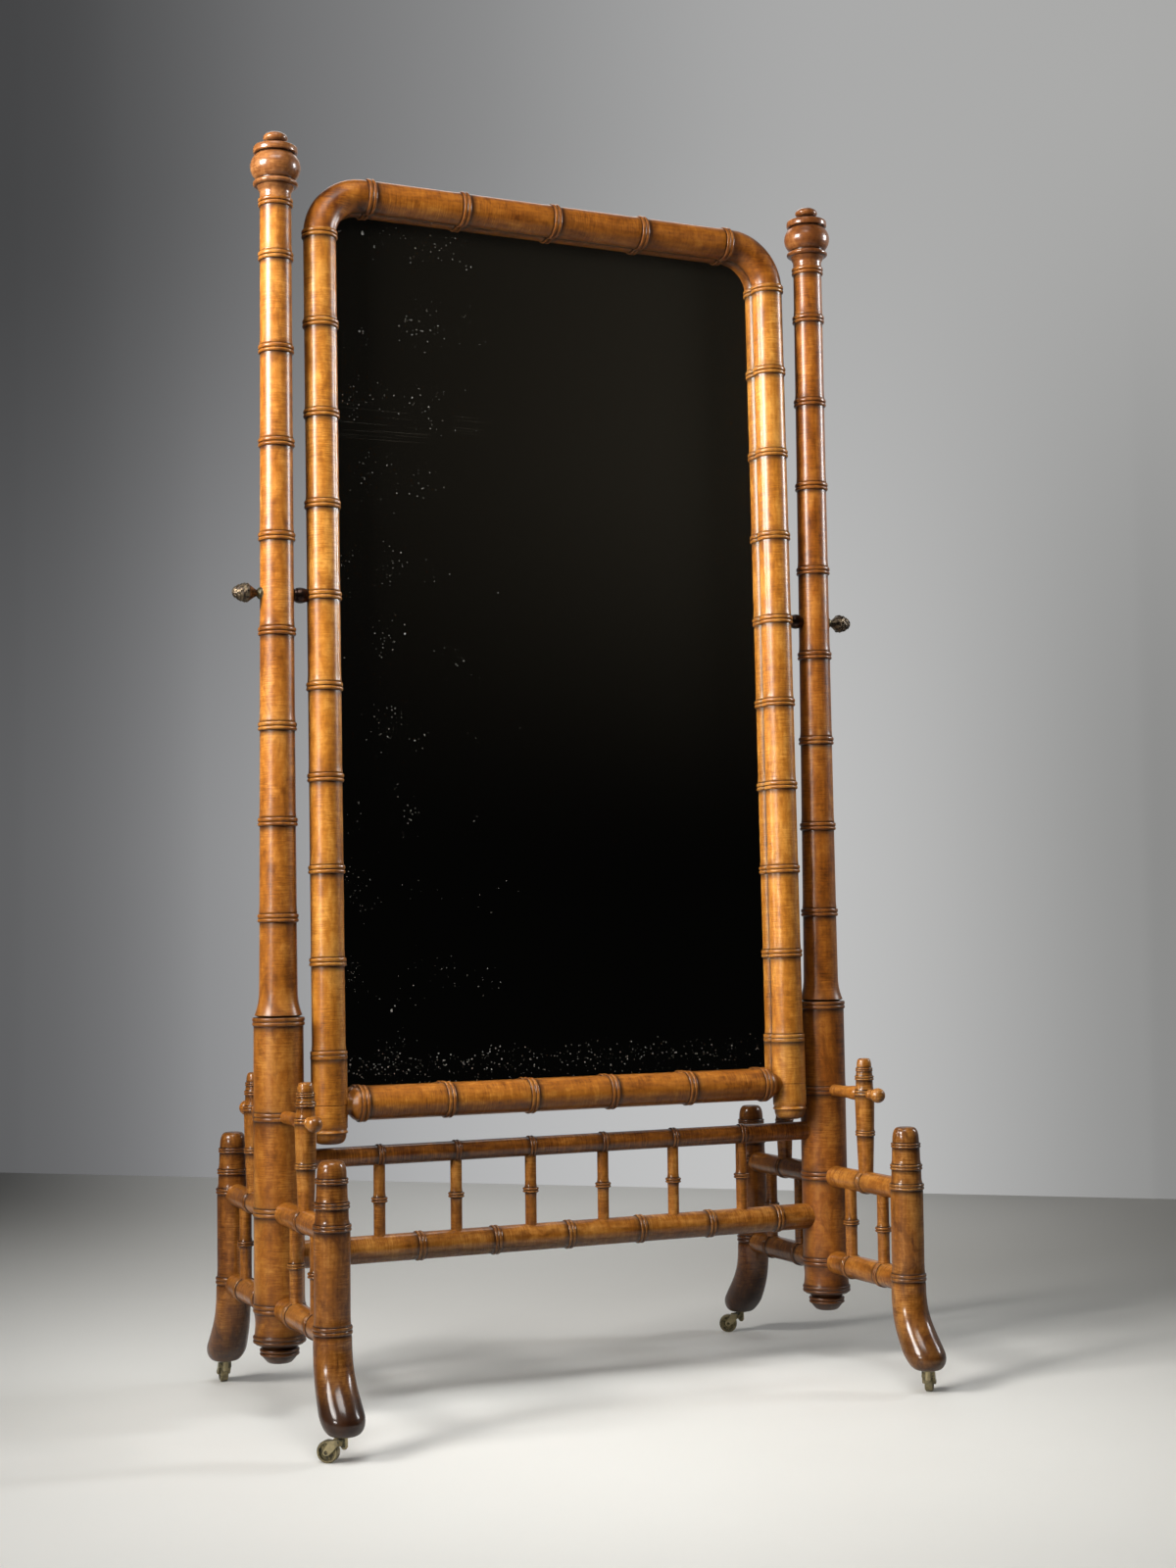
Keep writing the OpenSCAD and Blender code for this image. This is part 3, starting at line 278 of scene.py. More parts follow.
def finial_outline():
    """Disc, large ball, flat ring and small ball."""
    h, r, neck = FINIAL_H, FINIAL_R, THIN_TOP_R
    return ([(0, neck)]
            + smooth([(h * 0.04, neck), (h * 0.09, neck), (h * 0.15, r * 0.71)])
            + swell(h * 0.22, h * 0.045, r * 0.71, r * 0.19, -80, 80)
            + swell(h * 0.47, h * 0.29, 0, r, -42, 42, 18)
            + smooth(run(0, h, r, (0.665, 0.79), (0.672, 0.87), (0.69, 0.885), (0.75, 0.885), (0.775, 0.84),
                         (0.792, 0.6), (0.8, 0.3)))
            + swell(h * 0.905, h * 0.0915, 0, r * 0.49, -60, 88, 16))


def leg_outline():
    """The leg above its foot: one low ring, three rings and a domed top."""
    top, z, r = LEG_RISE, UPPER_RAIL_Z, LEG_R
    return (ring(ANKLE_Z, RING_W * 0.9, r * 1.04, r, r + RING_RISE, *FRAME_FLARE)
            + ring(z + top * 0.055, RING_W * 0.75, r * 1.01, r * 0.93, r * 1.08, 9, r * 0.07)
            + ring(z + top * 0.366, RING_W * 0.7, r * 0.92, r * 0.875, r, 9, r * 0.06)
            + ring(z + top * 0.71, RING_W * 0.6, r * 0.86, r * 0.83, r * 0.92)
            + smooth(run(z, top, r, (0.765, 0.83), (0.85, 0.815), (0.92, 0.76), (0.97, 0.66), (1, 0.5))
                     + [(z + top, TIP_R)]))


# Shares of the way down: where the foot is widest, and over which it closes below that
FOOT_WIDEST = 0.8
FOOT_CLOSING = 0.2
FOOT_ANKLE_R = LEG_R * 1.07
FOOT_STEPS = 30
SLOPE_STEP = 0.01


def foot_sweep(t):
    """Share of the foot's reach at share t of the way down."""
    u = t ** 1.6
    return u * u * (3 - 2 * u)


def foot_width(t):
    """Half width of the foot at share t of the way down."""
    if t < FOOT_WIDEST:
        return FOOT_ANKLE_R + (FOOT_R - FOOT_ANKLE_R) * (t / FOOT_WIDEST) ** 2
    u = (t - FOOT_WIDEST) / FOOT_CLOSING
    return FOOT_FLAT_R + (FOOT_R - FOOT_FLAT_R) * sqrt(max(0.0, 1 - u * u))


def foot_rows():
    """Rows (height, half width in X, half depth in Y, offset) from the flat underside up to the ankle."""
    top_z = ANKLE_Z - RING_W * 0.6
    drop = top_z - CASTER_H
    levels = [FOOT_WIDEST + FOOT_CLOSING * sin(radians(a)) for a in range(90, 0, -6)]
    levels += [FOOT_WIDEST - FOOT_WIDEST * i / FOOT_STEPS for i in range(FOOT_STEPS)]
    rows = []
    for t in levels:
        rise = foot_sweep(min(1.0, t + SLOPE_STEP)) - foot_sweep(max(0.0, t - SLOPE_STEP))
        slope = FOOT_REACH / drop * rise / (2 * SLOPE_STEP)
        width = foot_width(t)
        depth = width if t > 0.99 else width * sqrt(1 + slope * slope)
        rows.append((top_z - drop * t, width, depth, FOOT_REACH * foot_sweep(t)))
    return rows


def side_rail_outline(r, rings):
    points = [(ARM_START, r)]
    for z in rings:
        points += ring(z, RING_W * 0.8, r, r, r + RING_RISE * 0.7, *SIDE_RAIL_FLARE)
    return points + [(ARM_END, r)]


def spindle_outline(r, low, high):
    """A thin spindle with one ring at its middle."""
    mid, w = (low + high) / 2, SMALL_RING_W
    return ([(low, r)]
            + smooth(run(mid, -w, r, (2.2, 1), (1.2, 1), (0.6, 1.05)))
            + ring(mid, w, r * 1.05, r, r + SMALL_RING_RISE, w, r * 0.12)
            + [(high, r)])


def pinned(low_z, low_r, high_z, high_r):
    """Where a spindle starts and ends that is pinned into two rails."""
    return low_z + low_r - PIN_DEPTH + SKIN, high_z - high_r + PIN_DEPTH - SKIN


def spike_outline():
    """The spike on an upper side rail: four rings and a domed top."""
    r, w = SPIKE_R, SMALL_RING_W
    foot = UPPER_RAIL_Z + UPPER_RAIL_R - PIN_DEPTH + SKIN
    top = UPPER_RAIL_Z + SPIKE_RISE
    low = (foot + PEG_Z) / 2 + 3
    return ([(foot, r * 0.75), (foot + PIN_DEPTH + 1, r * 0.75)]
            + ring(low, w, r * 0.88, r * 0.91, r, 5, r * 0.04)
            + ring(PEG_Z + 2, w, r * 0.99, r * 0.87, r * 1.03, 7, r * 0.08)
            + ring(top - r * 1.97, w * 0.9, r * 0.85, r * 0.82, r * 0.96, 3, r * 0.04)
            + ring(top - r * 1.13, w * 0.75, r * 0.8, r * 0.74, r * 0.86)
            + smooth(run(top, -r, r, (0.82, 0.74), (0.5, 0.72), (0.25, 0.66), (0.08, 0.58), (0, 0.4))
                     + [(top, TIP_R)]))


def peg_outline():
    r, near = PEG_R, ARM_Y - SPIKE_R
    return ([(ARM_START, r)]
            + smooth(run(near, -r, r, (3.6, 1), (2.6, 1.1), (1.6, 1.2), (0.8, 1.16), (0.35, 1.04),
                         (0.1, 0.9)) + [(near - FACE_GAP, PEG_HOLE_R)])
            + [(near + PIN_DEPTH, PEG_HOLE_R)])


def knob_outline():
    r, far, ball = KNOB_R, ARM_Y + SPIKE_R, ARM_Y + KNOB_REACH
    return ([(far - PIN_DEPTH, PEG_HOLE_R), (far + FACE_GAP, PEG_HOLE_R)]
            + smooth(run(far, r, r, (0.2, 0.72), (0.42, 0.74), (0.6, 0.56)), 1)
            + swell(ball, r, 0, r, -50, 88, 18))


def stretcher_outline(r, positions, ring_w):
    points = [(-STRETCHER_HALF, r)]
    for x in positions:
        points += ring(x, ring_w, r, r, r + RING_RISE * 0.7, *STRETCHER_FLARE)
    return points + [(STRETCHER_HALF, r)]


def spindle_x(i):
    return (i - (SPINDLES - 1) / 2) * SPINDLE_PITCH


def frame_ring(z, below=FRAME_R, flare=FRAME_FLARE):
    """A ring of the mirror frame."""
    return ring(z, RING_W, below, FRAME_R, FRAME_R + RING_RISE, *flare)


def stile_cup():
    """The round cup at the bottom of a stile."""
    z, r = STILE_BOTTOM_H, BLOCK_R
    return ([(z, TIP_R), (z, r * 0.4)]
            + smooth([(z, r * 0.5), (z + 0.8, r * 0.62)], 1)
            + swell(z + r * 0.5, r * 0.5, r * 0.5, r * 0.42, -60, 0, 10)
            + smooth(run(z, r, r, (0.56, 0.93), (0.58, 0.98), (0.64, 1.02), (0.7, 0.98), (0.78, 0.94),
                         (0.9, 1))))


def stile_outline():
    """A cup, a plain block with a fine groove, and ten rings."""
    joint, r, depth = BOTTOM_RAIL_H, BLOCK_R, 0.8
    points = stile_cup()
    points += [(joint - 1.0, r), (joint - 0.5, r - depth), (joint + 0.5, r - depth), (joint + 1.0, r)]
    for k in range(5, 0, -1):
        points += frame_ring(-k * STILE_LOWER_PITCH, BLOCK_R if k == 5 else FRAME_R)
    for k in range(4):
        points += frame_ring(k * STILE_UPPER_PITCH)
    return points + frame_ring(ELBOW_H, flare=NO_FLARE)


def top_rail_outline():
    points = [(-ELBOW_X, FRAME_R)]
    for i in (-2, -1, 0, 1):
        points += frame_ring(i * TOP_RING_X / 2)
    return points + frame_ring(TOP_RING_X, flare=NO_FLARE) + [(ELBOW_X, FRAME_R)]


def bottom_rail_outline():
    """Six rings, with a narrow neck and a cup at each end."""
    neck, r, start = FRAME_R * 0.64, FRAME_R, BLOCK_R
    length = END_RING_INSET - RING_W / 2 - start
    cup = [(start - PIN_DEPTH, neck)]
    cup += smooth(run(start, length, neck, (0.1, 1), (0.2, 1.03), (0.35, 1.15))
                  + run(start, length, r, (0.55, 0.87), (0.75, 0.965), (0.95, 1)))
    points = [(z - STILE_X, radius) for z, radius in cup]
    for i in range(6):
        points += frame_ring((i * 2 / 5 - 1) * END_RING_X, flare=NO_FLARE if i == 5 else BOTTOM_FLARE)
    return points + [(STILE_X - z, radius) for z, radius in reversed(cup)]


def spacer_outline():
    r, length = SPACER_R, SPACER_END_X - STILE_SEAT_X
    return ([(0, r * 0.8), (SEAT, r * 0.8)]
            + smooth(run(0, length, r, (0.13, 0.82), (0.2, 0.87), (0.34, 0.96), (0.52, 1), (0.7, 0.96),
                         (0.82, 0.88), (0.86, 0.8)))
            + [(length, r * 0.76)])


def collar_outline():
    r, t = COLLAR_R, COLLAR_T
    return (run(0, t, r, (0, 1), (0.3, 1), (0.34, 0.93), (0.38, 0.93))
            + smooth(run(0, t, r, (0.42, 0.97), (0.6, 0.92), (0.8, 0.76), (1, 0.55))))


CONE_PEAK = 0.40
CONE_LEVELS = 90
SCALE_ROWS = 5
SCALES = 8
SCALE_LAP = 0.04
CONE_TIP = 0.97
CONE_TIP_R = 0.4


def cone_body(t):
    """Radius of the pine cone without its scales, at share t of its length."""
    if t < CONE_PEAK:
        u = t / CONE_PEAK
        return CONE_R * (0.34 + 0.6 * (u * u * (3 - 2 * u) * 0.5 + u * 0.5))
    closing = radians(84 * (t - CONE_PEAK) / (1 - CONE_PEAK))
    return CONE_R * 0.94 * max(0.0, cos(closing)) ** 0.62


def cone_radius(t, angle):
    """Radius of the pine cone with its overlapping scales."""
    scale_row = max(0.0, (t - CONE_PEAK + SCALE_LAP) / (1 - CONE_PEAK + SCALE_LAP)) * SCALE_ROWS
    number = int(scale_row)
    rise = scale_row - number
    side = abs(sin(angle * SCALES / 2 + (number % 2) * pi / 2))
    lift = 0.0
    if t > CONE_PEAK - SCALE_LAP:
        tip = (1 - side) ** 0.7
        lift = CONE_R * 0.11 * (1 - rise) ** 0.8 * (0.25 + 0.75 * side ** 0.6) - 0.25 * tip
    return max(CONE_TIP_R, (cone_body(t) + lift) * (1 if t < CONE_TIP else 1 - (t - CONE_TIP) * 12))


def cone_rows(sides):
    """Pine cone: a smooth cup below and rows of overlapping scales above."""
    rows = []
    for t in (i / CONE_LEVELS for i in range(CONE_LEVELS + 1)):
        row = []
        for angle in (2 * pi * i / sides for i in range(sides)):
            r = cone_radius(t, angle)
            row.append((r * cos(angle), r * sin(angle), CONE_L * t))
        rows.append(row)
    return rows


# Meshes


def at(x, y, z):
    return Matrix.Translation((x * MM, y * MM, z * MM))


def spin(degrees, axis):
    return Matrix.Rotation(radians(degrees), 4, axis)


TURN_Y = spin(-90, "X")
TURN_X = spin(90, "Y")
TURN_BACK_X = spin(-90, "Y")
WHERE_MADE = Matrix.Identity(4)
IN_FRAME = at(0, 0, PIVOT_Z) @ spin(-FRAME_LEAN, "X")

# Painted shade along the glass and dark marks by the rings: reaches in millimetres, and how dark a point
# must be to count as the line of a groove
GLASS_SHADE_REACH = 2.6
GLASS_SHADE_DARK = 0.9
DUST_REACH = 12.0
LINE_REACH = 0.75
LINE_DARK = 0.6


def corner(sx, sy):
    """The place of one post, turned so that its leg stands towards local +Y."""
    return at(sx * POST_X, 0, 0) @ spin(180 if sy < 0 else 0, "Z")


def new_mesh(name, points, faces):
    mesh = bpy.data.meshes.new(name)
    mesh.from_pydata(points, [], faces)
    return mesh


def new_object(name, data):
    obj = bpy.data.objects.new(name, data)
    bpy.context.scene.collection.objects.link(obj)
    return obj


def circle(sides):
    """Cosine and sine of each corner of a regular polygon."""
    angles = [2 * pi * i / sides for i in range(sides)]
    return [(cos(a), sin(a)) for a in angles]


def stain_and_hollow_shade(outline):
    """How dark each point of an outline is: dark stained lines in the ring grooves, painted shade in hollows
    beside the beads, and a fainter stain beside the rings.
    """
    z = np.array([point[0] for point in outline])
    r = np.array([point[1] for point in outline])
    own = np.array([point[2] if len(point) > 2 else 0.0 for point in outline])
    step = z[None, :] - z[:, None]
    rise = r[None, :] - r[:, None]
    distance = np.abs(step)

    def cover(slope, reach):
        """How far the surface lies under its neighbours, mostly by the lower of the two sides."""
        over = np.where(distance < reach, rise - slope * distance, 0)
        before = np.clip(np.where(step < 0, over, 0).max(axis=1), 0, 3)
        after = np.clip(np.where(step > 0, over, 0).max(axis=1), 0, 3)
        return np.minimum(before, after) + 0.25 * np.maximum(before, after)

    beside = np.where(own[None, :] > 0, np.exp(-distance / DUST_REACH), 0).max(axis=1)
    lines = np.where(own[None, :] > LINE_DARK, own[None, :], 0)
    line = (lines * np.exp(-distance / LINE_REACH)).max(axis=1)
    # Painted shade: the deeper a point lies under its neighbours, the darker it is
    hollow_shade = 0.3 * cover(0.5, 8) + 0.3 * cover(0.1, 2.6)
    deep = np.maximum(np.maximum(own, hollow_shade), 1.1 * line)
    return np.clip(deep + 0.34 * beside * (own == 0), 0, 1)


class Solid:
    """Collects closed rows of points into one mesh, with a darkness for each point."""

    def __init__(self):
        self.verts, self.faces, self.dark = [], [], []

    def rows(self, rows, darks):
        """Joins closed rows of points in millimetres; a row's darkness is one value or a list of them."""
        sides = len(rows[0])
        start = len(self.verts)
        for row, dark in zip(rows, darks):
            self.verts += [tuple(value * MM for value in point) for point in row]
            self.dark += dark if isinstance(dark, list) else [dark] * sides
        for k in range(len(rows) - 1):
            a, b = start + k * sides, start + (k + 1) * sides
            self.faces += [(a + i, a + (i + 1) % sides, b + (i + 1) % sides, b + i) for i in range(sides)]
        self.cap(rows[0], start, True)
        self.cap(rows[-1], start + (len(rows) - 1) * sides, False)

    def cap(self, row, first, flip):
        """Closes an end with a fan about the row's middle."""
        sides = len(row)
        centre = len(self.verts)
        middle = np.mean(np.array(row), axis=0)
        self.verts.append(tuple(float(value) * MM for value in middle))
        self.dark.append(self.dark[first])
        for i in range(sides):
            near, far = first + i, first + (i + 1) % sides
            self.faces.append((far, near, centre) if flip else (near, far, centre))

    def turned(self, outline, sides, offset=(0, 0), shade=None, place=None):
        """A turned solid about local Z; shade(height) adds darkness, and place moves the solid."""
        points = filled_outline(outline)
        dark = stain_and_hollow_shade(points)
        if shade:
            dark = np.clip(dark + np.array([shade(point[0]) for point in points]), 0, 1)
        first = len(self.verts)
        x, y = offset
        turn = circle(sides)
        self.rows([[(x + point[1] * c, y + point[1] * s, point[0]) for c, s in turn]
                   for point in points], dark)
        if place:
            self.verts[first:] = [tuple(place @ Vector(vert)) for vert in self.verts[first:]]

    def piece(self, node, place, kind, seed, tone=0.0, warm=0.0, ending="turned", sharp=42, cutters=()):
        """Makes the object that stands for a node; seed, tone and warm vary its wood, and on some pieces
        tone and warm also hold painted light and shade.
        """
        body, slot, material = kind
        name = f"{node}_{ending}"
        mesh = new_mesh(name, self.verts, self.faces)
        mesh.update()
        obj = new_object(name, mesh)
        obj.matrix_world = place
        dark = mesh.attributes.new("dark", "FLOAT", "POINT")
        dark.data.foreach_set("value", np.array(self.dark, np.float32))
        if cutters:
            mesh = cut(obj, cutters)
            # Painted shade along the line where the wood meets the glass
            glass_line_shade(mesh, IN_FRAME.inverted() @ place)
        mark = mesh.attributes.new("piece", "FLOAT_VECTOR", "POINT")
        values = np.array([seed, tone, warm], np.float32)
        mark.data.foreach_set("vector", np.tile(values, len(mesh.vertices)))
        mesh.polygons.foreach_set("use_smooth", np.ones(len(mesh.polygons), bool))
        mesh.set_sharp_from_angle(angle=radians(sharp))
        mesh.materials.clear()
        mesh.materials.append(material)
        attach(obj, body)
        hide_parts(node)


def turn_piece(node, place, kind, outline, sides, shade=None, **look):
    """A node's visible piece that is one turned solid."""
    solid = Solid()
    solid.turned(outline, sides, shade=shade)
    solid.piece(node, place, kind, **look)


def cut(obj, cutters):
    """Applies exact differences and gives the object its new mesh."""
    for cutter in cutters:
        modifier = obj.modifiers.new("cut", "BOOLEAN")
        modifier.operation, modifier.solver, modifier.object = "DIFFERENCE", "EXACT", cutter
    bpy.context.view_layer.update()
    done = bpy.data.meshes.new_from_object(obj.evaluated_get(bpy.context.evaluated_depsgraph_get()))
    obj.modifiers.clear()
    old = obj.data
    obj.data = done
    bpy.data.meshes.remove(old)
    return done


def inside_pane(x, z):
    """Whether a point of the frame's space lies within the middle line of the rails, stiles and elbows."""
    over_x = abs(x) - (STILE_X - ELBOW_R)
    over_z = z - (TOP_RAIL_H - ELBOW_R)
    if over_x > 0 and over_z > 0:
        return hypot(over_x, over_z) < ELBOW_R
    return abs(x) < STILE_X and BOTTOM_RAIL_H < z < TOP_RAIL_H


def glass_line_shade(mesh, home):
    """Paints shade on the wood towards the line where it meets the glass; home leads to the frame's space.
    """
    for vertex, mark in zip(mesh.vertices, mesh.attributes["dark"].data):
        x, y, z = (home @ vertex.co) / MM
        if y > 0 and inside_pane(x, z):
            mark.value = max(mark.value, GLASS_SHADE_DARK * exp(-abs(GLASS_SETBACK - y) / GLASS_SHADE_REACH))


def pane_cutter(name, grow, front, back=60, steps=24):
    """Prism of the glass or back outline, in the frame's space, between the depths front and back."""
    half, radius = STILE_X + grow, ELBOW_R + grow
    top, bottom = TOP_RAIL_H + grow, BOTTOM_RAIL_H - grow
    outline = [(-half, bottom), (half, bottom)]
    for middle, start in ((half - radius, 0), (-half + radius, 90)):
        outline += [(middle + radius * cos(a), top - radius + radius * sin(a))
                    for a in arc(start, start + 90, steps)]
    solid = Solid()
    solid.rows([[(x, y, z) for x, z in outline] for y in (back, front)], [0, 0])
    obj = new_object(name, new_mesh(name, solid.verts, solid.faces))
    obj.matrix_world = IN_FRAME
    obj.hide_render = True
    return obj


# Materials


class Graph:
    """Small helper that builds the nodes of one material or world."""

    def __init__(self, name, kind="materials", output="OutputMaterial"):
        self.block = getattr(bpy.data, kind).new(name)
        self.block.use_nodes = True
        self.tree = self.block.node_tree
        self.tree.nodes.clear()
        self.out = self.node(output)

    def feed(self, socket, value):
        """Links a socket to the value, or sets the value on it; a colour has three parts."""
        if isinstance(value, bpy.types.NodeSocket):
            self.tree.links.new(value, socket)
        elif socket.type == "RGBA":
            socket.default_value = (*value, 1.0)
        else:
            socket.default_value = value

    def node(self, kind, inputs=None, **settings):
        made = self.tree.nodes.new("ShaderNode" + kind)
        for key, value in settings.items():
            setattr(made, key, value)
        for key, value in (inputs or {}).items():
            self.feed(made.inputs[key], value)
        return made

    def math(self, operation, a, b=0.0, c=0.0, clamp=False):
        return self.node("Math", {0: a, 1: b, 2: c}, operation=operation, use_clamp=clamp).outputs[0]

    def times(self, a, b):
        return self.math("MULTIPLY", a, b)

    def line(self, value, slope, start):
        """start + slope times value."""
        return self.math("MULTIPLY_ADD", value, slope, start)

    def about_middle(self, noise, amount, base):
        """base + amount times the noise's distance from its middle."""
        return self.line(self.math("SUBTRACT", noise, 0.5), amount, base)

    def vector(self, operation, a, b, output="Vector"):
        return self.node("VectorMath", {0: a, 1: b}, operation=operation).outputs[output]

    def split(self, vector):
        """A list of the vector's three parts."""
        return list(self.node("SeparateXYZ", {0: vector}).outputs)

    def local(self):
        """The point in the object's own space."""
        return self.node("TexCoord").outputs["Object"]

    def noise(self, vector, scale=1.0, detail=2.0, rough=0.5, distortion=0.0):
        return self.node("TexNoise", {"Vector": vector, "Scale": scale, "Detail": detail, "Roughness": rough,
                                      "Distortion": distortion}).outputs[0]

    def streaks(self, vector, across, along, detail=2, rough=0.5, distortion=0.0):
        """Noise with its own fineness, per metre, across and along local Z."""
        stretched = self.vector("MULTIPLY", vector, (across, across, along))
        return self.noise(stretched, 1, detail, rough, distortion)

    def span(self, value, low, high, to_low=0.0, to_high=1.0):
        """Soft step from to_low to to_high while the value runs from low to high."""
        return self.node("MapRange", {0: value, 1: low, 2: high, 3: to_low, 4: to_high},
                         interpolation_type="SMOOTHSTEP").outputs[0]

    def mix(self, share, a, b, blend="MIX"):
        made = self.node("Mix", {"Factor": share}, data_type="RGBA", blend_type=blend)
        for key, value in (("A", a), ("B", b)):
            self.feed([s for s in made.inputs if s.name == key and s.type == "RGBA"][0], value)
        return [s for s in made.outputs if s.type == "RGBA"][0]

    def ramp(self, share, stops, blend="LINEAR"):
        made = self.node("ValToRGB", {"Fac": share})
        ramp = made.color_ramp
        ramp.interpolation = blend
        while len(ramp.elements) < len(stops):
            ramp.elements.new(0.5)
        for element, (position, colour) in zip(ramp.elements, stops):
            element.position, element.color = position, (*colour, 1.0)
        return made.outputs[0]

    def bump(self, height, strength, distance):
        return self.node("Bump", {"Height": height, "Strength": strength, "Distance": distance}).outputs[0]

    def shader(self, kind="BsdfPrincipled", **inputs):
        """A shader's output; in the names of its inputs a space is written as _."""
        return self.node(kind, {key.replace("_", " "): value for key, value in inputs.items()}).outputs[0]

    def blend(self, share, a, b):
        return self.node("MixShader", {0: share, 1: a, 2: b}).outputs[0]

    def surface(self, shader):
        """Ends the nodes with a shader and returns their material or world."""
        self.feed(self.out.inputs["Surface"], shader)
        return self.block


WARM_TINT = (0.66, 0.46, 0.28)


def growth_rings(graph, local, seed, warp):
    """Fine rings about a pith beside the piece's axis."""
    flat = graph.vector("MULTIPLY", local, (1, 1, 0))
    pith = graph.node("CombineXYZ", {0: graph.line(seed, 0.05, 0.012), 1: graph.line(seed, -0.04, 0.02)})
    reach = graph.vector("DISTANCE", flat, pith.outputs[0], "Value")
    return graph.math("SINE", graph.times(graph.line(warp, 0.03, reach), 1100.0))


def wood(name, dark, mid, light, stain, gloss=0.55, rough=0.5, polish=0.28, smoke=0.3):
    """Figured, varnished wood. Local Z runs along the grain."""
    graph = Graph(name)
    local = graph.local()
    seed, tone, warm = graph.split(graph.node("Attribute", attribute_name="piece").outputs["Vector"])
    stain_and_shade = graph.node("Attribute", attribute_name="dark").outputs["Fac"]
    shift = graph.node("CombineXYZ", {0: seed, 1: graph.times(seed, 2.7), 2: graph.times(seed, 7.3)})
    place = graph.vector("ADD", local, shift.outputs[0])

    clouds = graph.streaks(place, 26, 9, 3, 0.55)
    patches = graph.streaks(place, 60, 34, 2, 0.5, 0.6)
    mottle = graph.streaks(place, 150, 105, 3, 0.6, 0.8)
    bands = graph.streaks(place, 48, 620, 3, 0.6, 0.4)
    wide_bands = graph.streaks(place, 34, 210, 2, 0.55, 0.5)
    banded = graph.span(graph.streaks(place, 24, 12, 1), 0.38, 0.62)
    fibres = graph.streaks(place, 1500, 30, 2, 0.6)
    warp = graph.streaks(place, 9, 5)
    rings = growth_rings(graph, local, seed, warp)

    value = graph.about_middle(clouds, 1.1, 0.5)
    value = graph.about_middle(patches, 0.75, value)
    value = graph.about_middle(mottle, 0.55, value)
    stripes = graph.times(graph.math("SUBTRACT", bands, 0.5), graph.line(banded, 1.1, 0.25))
    value = graph.line(stripes, 0.95, value)
    value = graph.about_middle(wide_bands, 0.4, value)
    value = graph.line(rings, 0.035, value)
    value = graph.about_middle(fibres, 0.16, value)
    # tone and warm vary each piece, and on some pieces they also hold painted light and shade
    value = graph.math("ADD", value, tone, clamp=True)
    colour = graph.ramp(value, [(0.0, dark), (0.5, mid), (1.0, light)])
    colour = graph.mix(warm, colour, WARM_TINT, "MULTIPLY")
    smoky = graph.span(graph.streaks(place, 42, 18, 4, 0.66, 0.9), 0.46, 0.72)
    colour = graph.mix(graph.times(smoky, smoke), colour, dark)
    dots = graph.span(graph.noise(place, 420, 1, 0.5), 0.74, 0.8)
    colour = graph.mix(graph.times(dots, 0.55), colour, stain)
    # The dark attribute darkens towards the stain: stained ring lines, dark feet and leg tops, and also
    # painted shade in hollows, along the glass and on the rear right foot
    dirt = graph.math("MULTIPLY", stain_and_shade, graph.line(clouds, 0.5, 0.7), clamp=True)
    colour = graph.mix(dirt, colour, stain)

    relief = graph.math("ADD", graph.times(fibres, 0.4), graph.times(bands, 0.6))
    relief = graph.math("ADD", relief, graph.times(patches, 1.6))
    return graph.surface(graph.shader(
        Normal=graph.bump(relief, 0.22, 0.0005), Base_Color=colour,
        Roughness=graph.about_middle(patches, 0.25, rough), Coat_Weight=gloss, Coat_Roughness=polish,
        Coat_IOR=1.5, Specular_IOR_Level=0.1))


def brass(name, base, dirt, bright, rough=0.38):
    """Old brass with a dull patina, rubbed bright on its edges."""
    graph = Graph(name)
    place = graph.local()
    clouds = graph.noise(place, 180, 4, 0.6)
    grains = graph.noise(place, 900, 3, 0.6)
    edge = graph.span(graph.node("NewGeometry").outputs["Pointiness"], 0.52, 0.6)
    colour = graph.mix(graph.span(clouds, 0.4, 0.62), base, dirt)
    colour = graph.mix(graph.times(edge, 0.6), colour, bright)
    relief = graph.bump(graph.math("ADD", clouds, grains), 0.25, 0.0003)
    return graph.surface(graph.shader(
        Normal=relief, Base_Color=colour, Metallic=0.85, Roughness=graph.line(clouds, 0.3, rough - 0.12)))


SILVER = (0.78, 0.79, 0.76)
LOST_SILVER = (0.60, 0.60, 0.57)
HAZE = (0.36, 0.31, 0.22)
SCRATCH_HEIGHT = 1.44


def specks(graph, place, scale, biggest, share):
    """Round pale specks; share is how many of the cells of size 1/scale metres have one."""
    cells = graph.node("TexVoronoi", {"Vector": place, "Scale": scale})
    luck = graph.node("SeparateColor", {0: cells.outputs["Color"]})
    size = graph.times(graph.math("POWER", luck.outputs[0], 2.0), biggest)
    inside = graph.math("LESS_THAN", cells.outputs["Distance"], size)
    pale = graph.line(luck.outputs[2], 0.7, 0.3)
    return graph.times(graph.times(inside, pale), graph.math("LESS_THAN", luck.outputs[1], share))


def scratches(graph, place, height, left):
    """Faint level scratches about one height, towards the left."""
    line = graph.span(graph.streaks(place, 5, 1100, 1), 0.66, 0.72)
    distance = graph.math("ABSOLUTE", graph.math("SUBTRACT", height, SCRATCH_HEIGHT))
    around = graph.span(distance, 0.0, 0.05, 1.0, 0.0)
    return graph.times(graph.times(line, around), graph.times(left, 0.35))


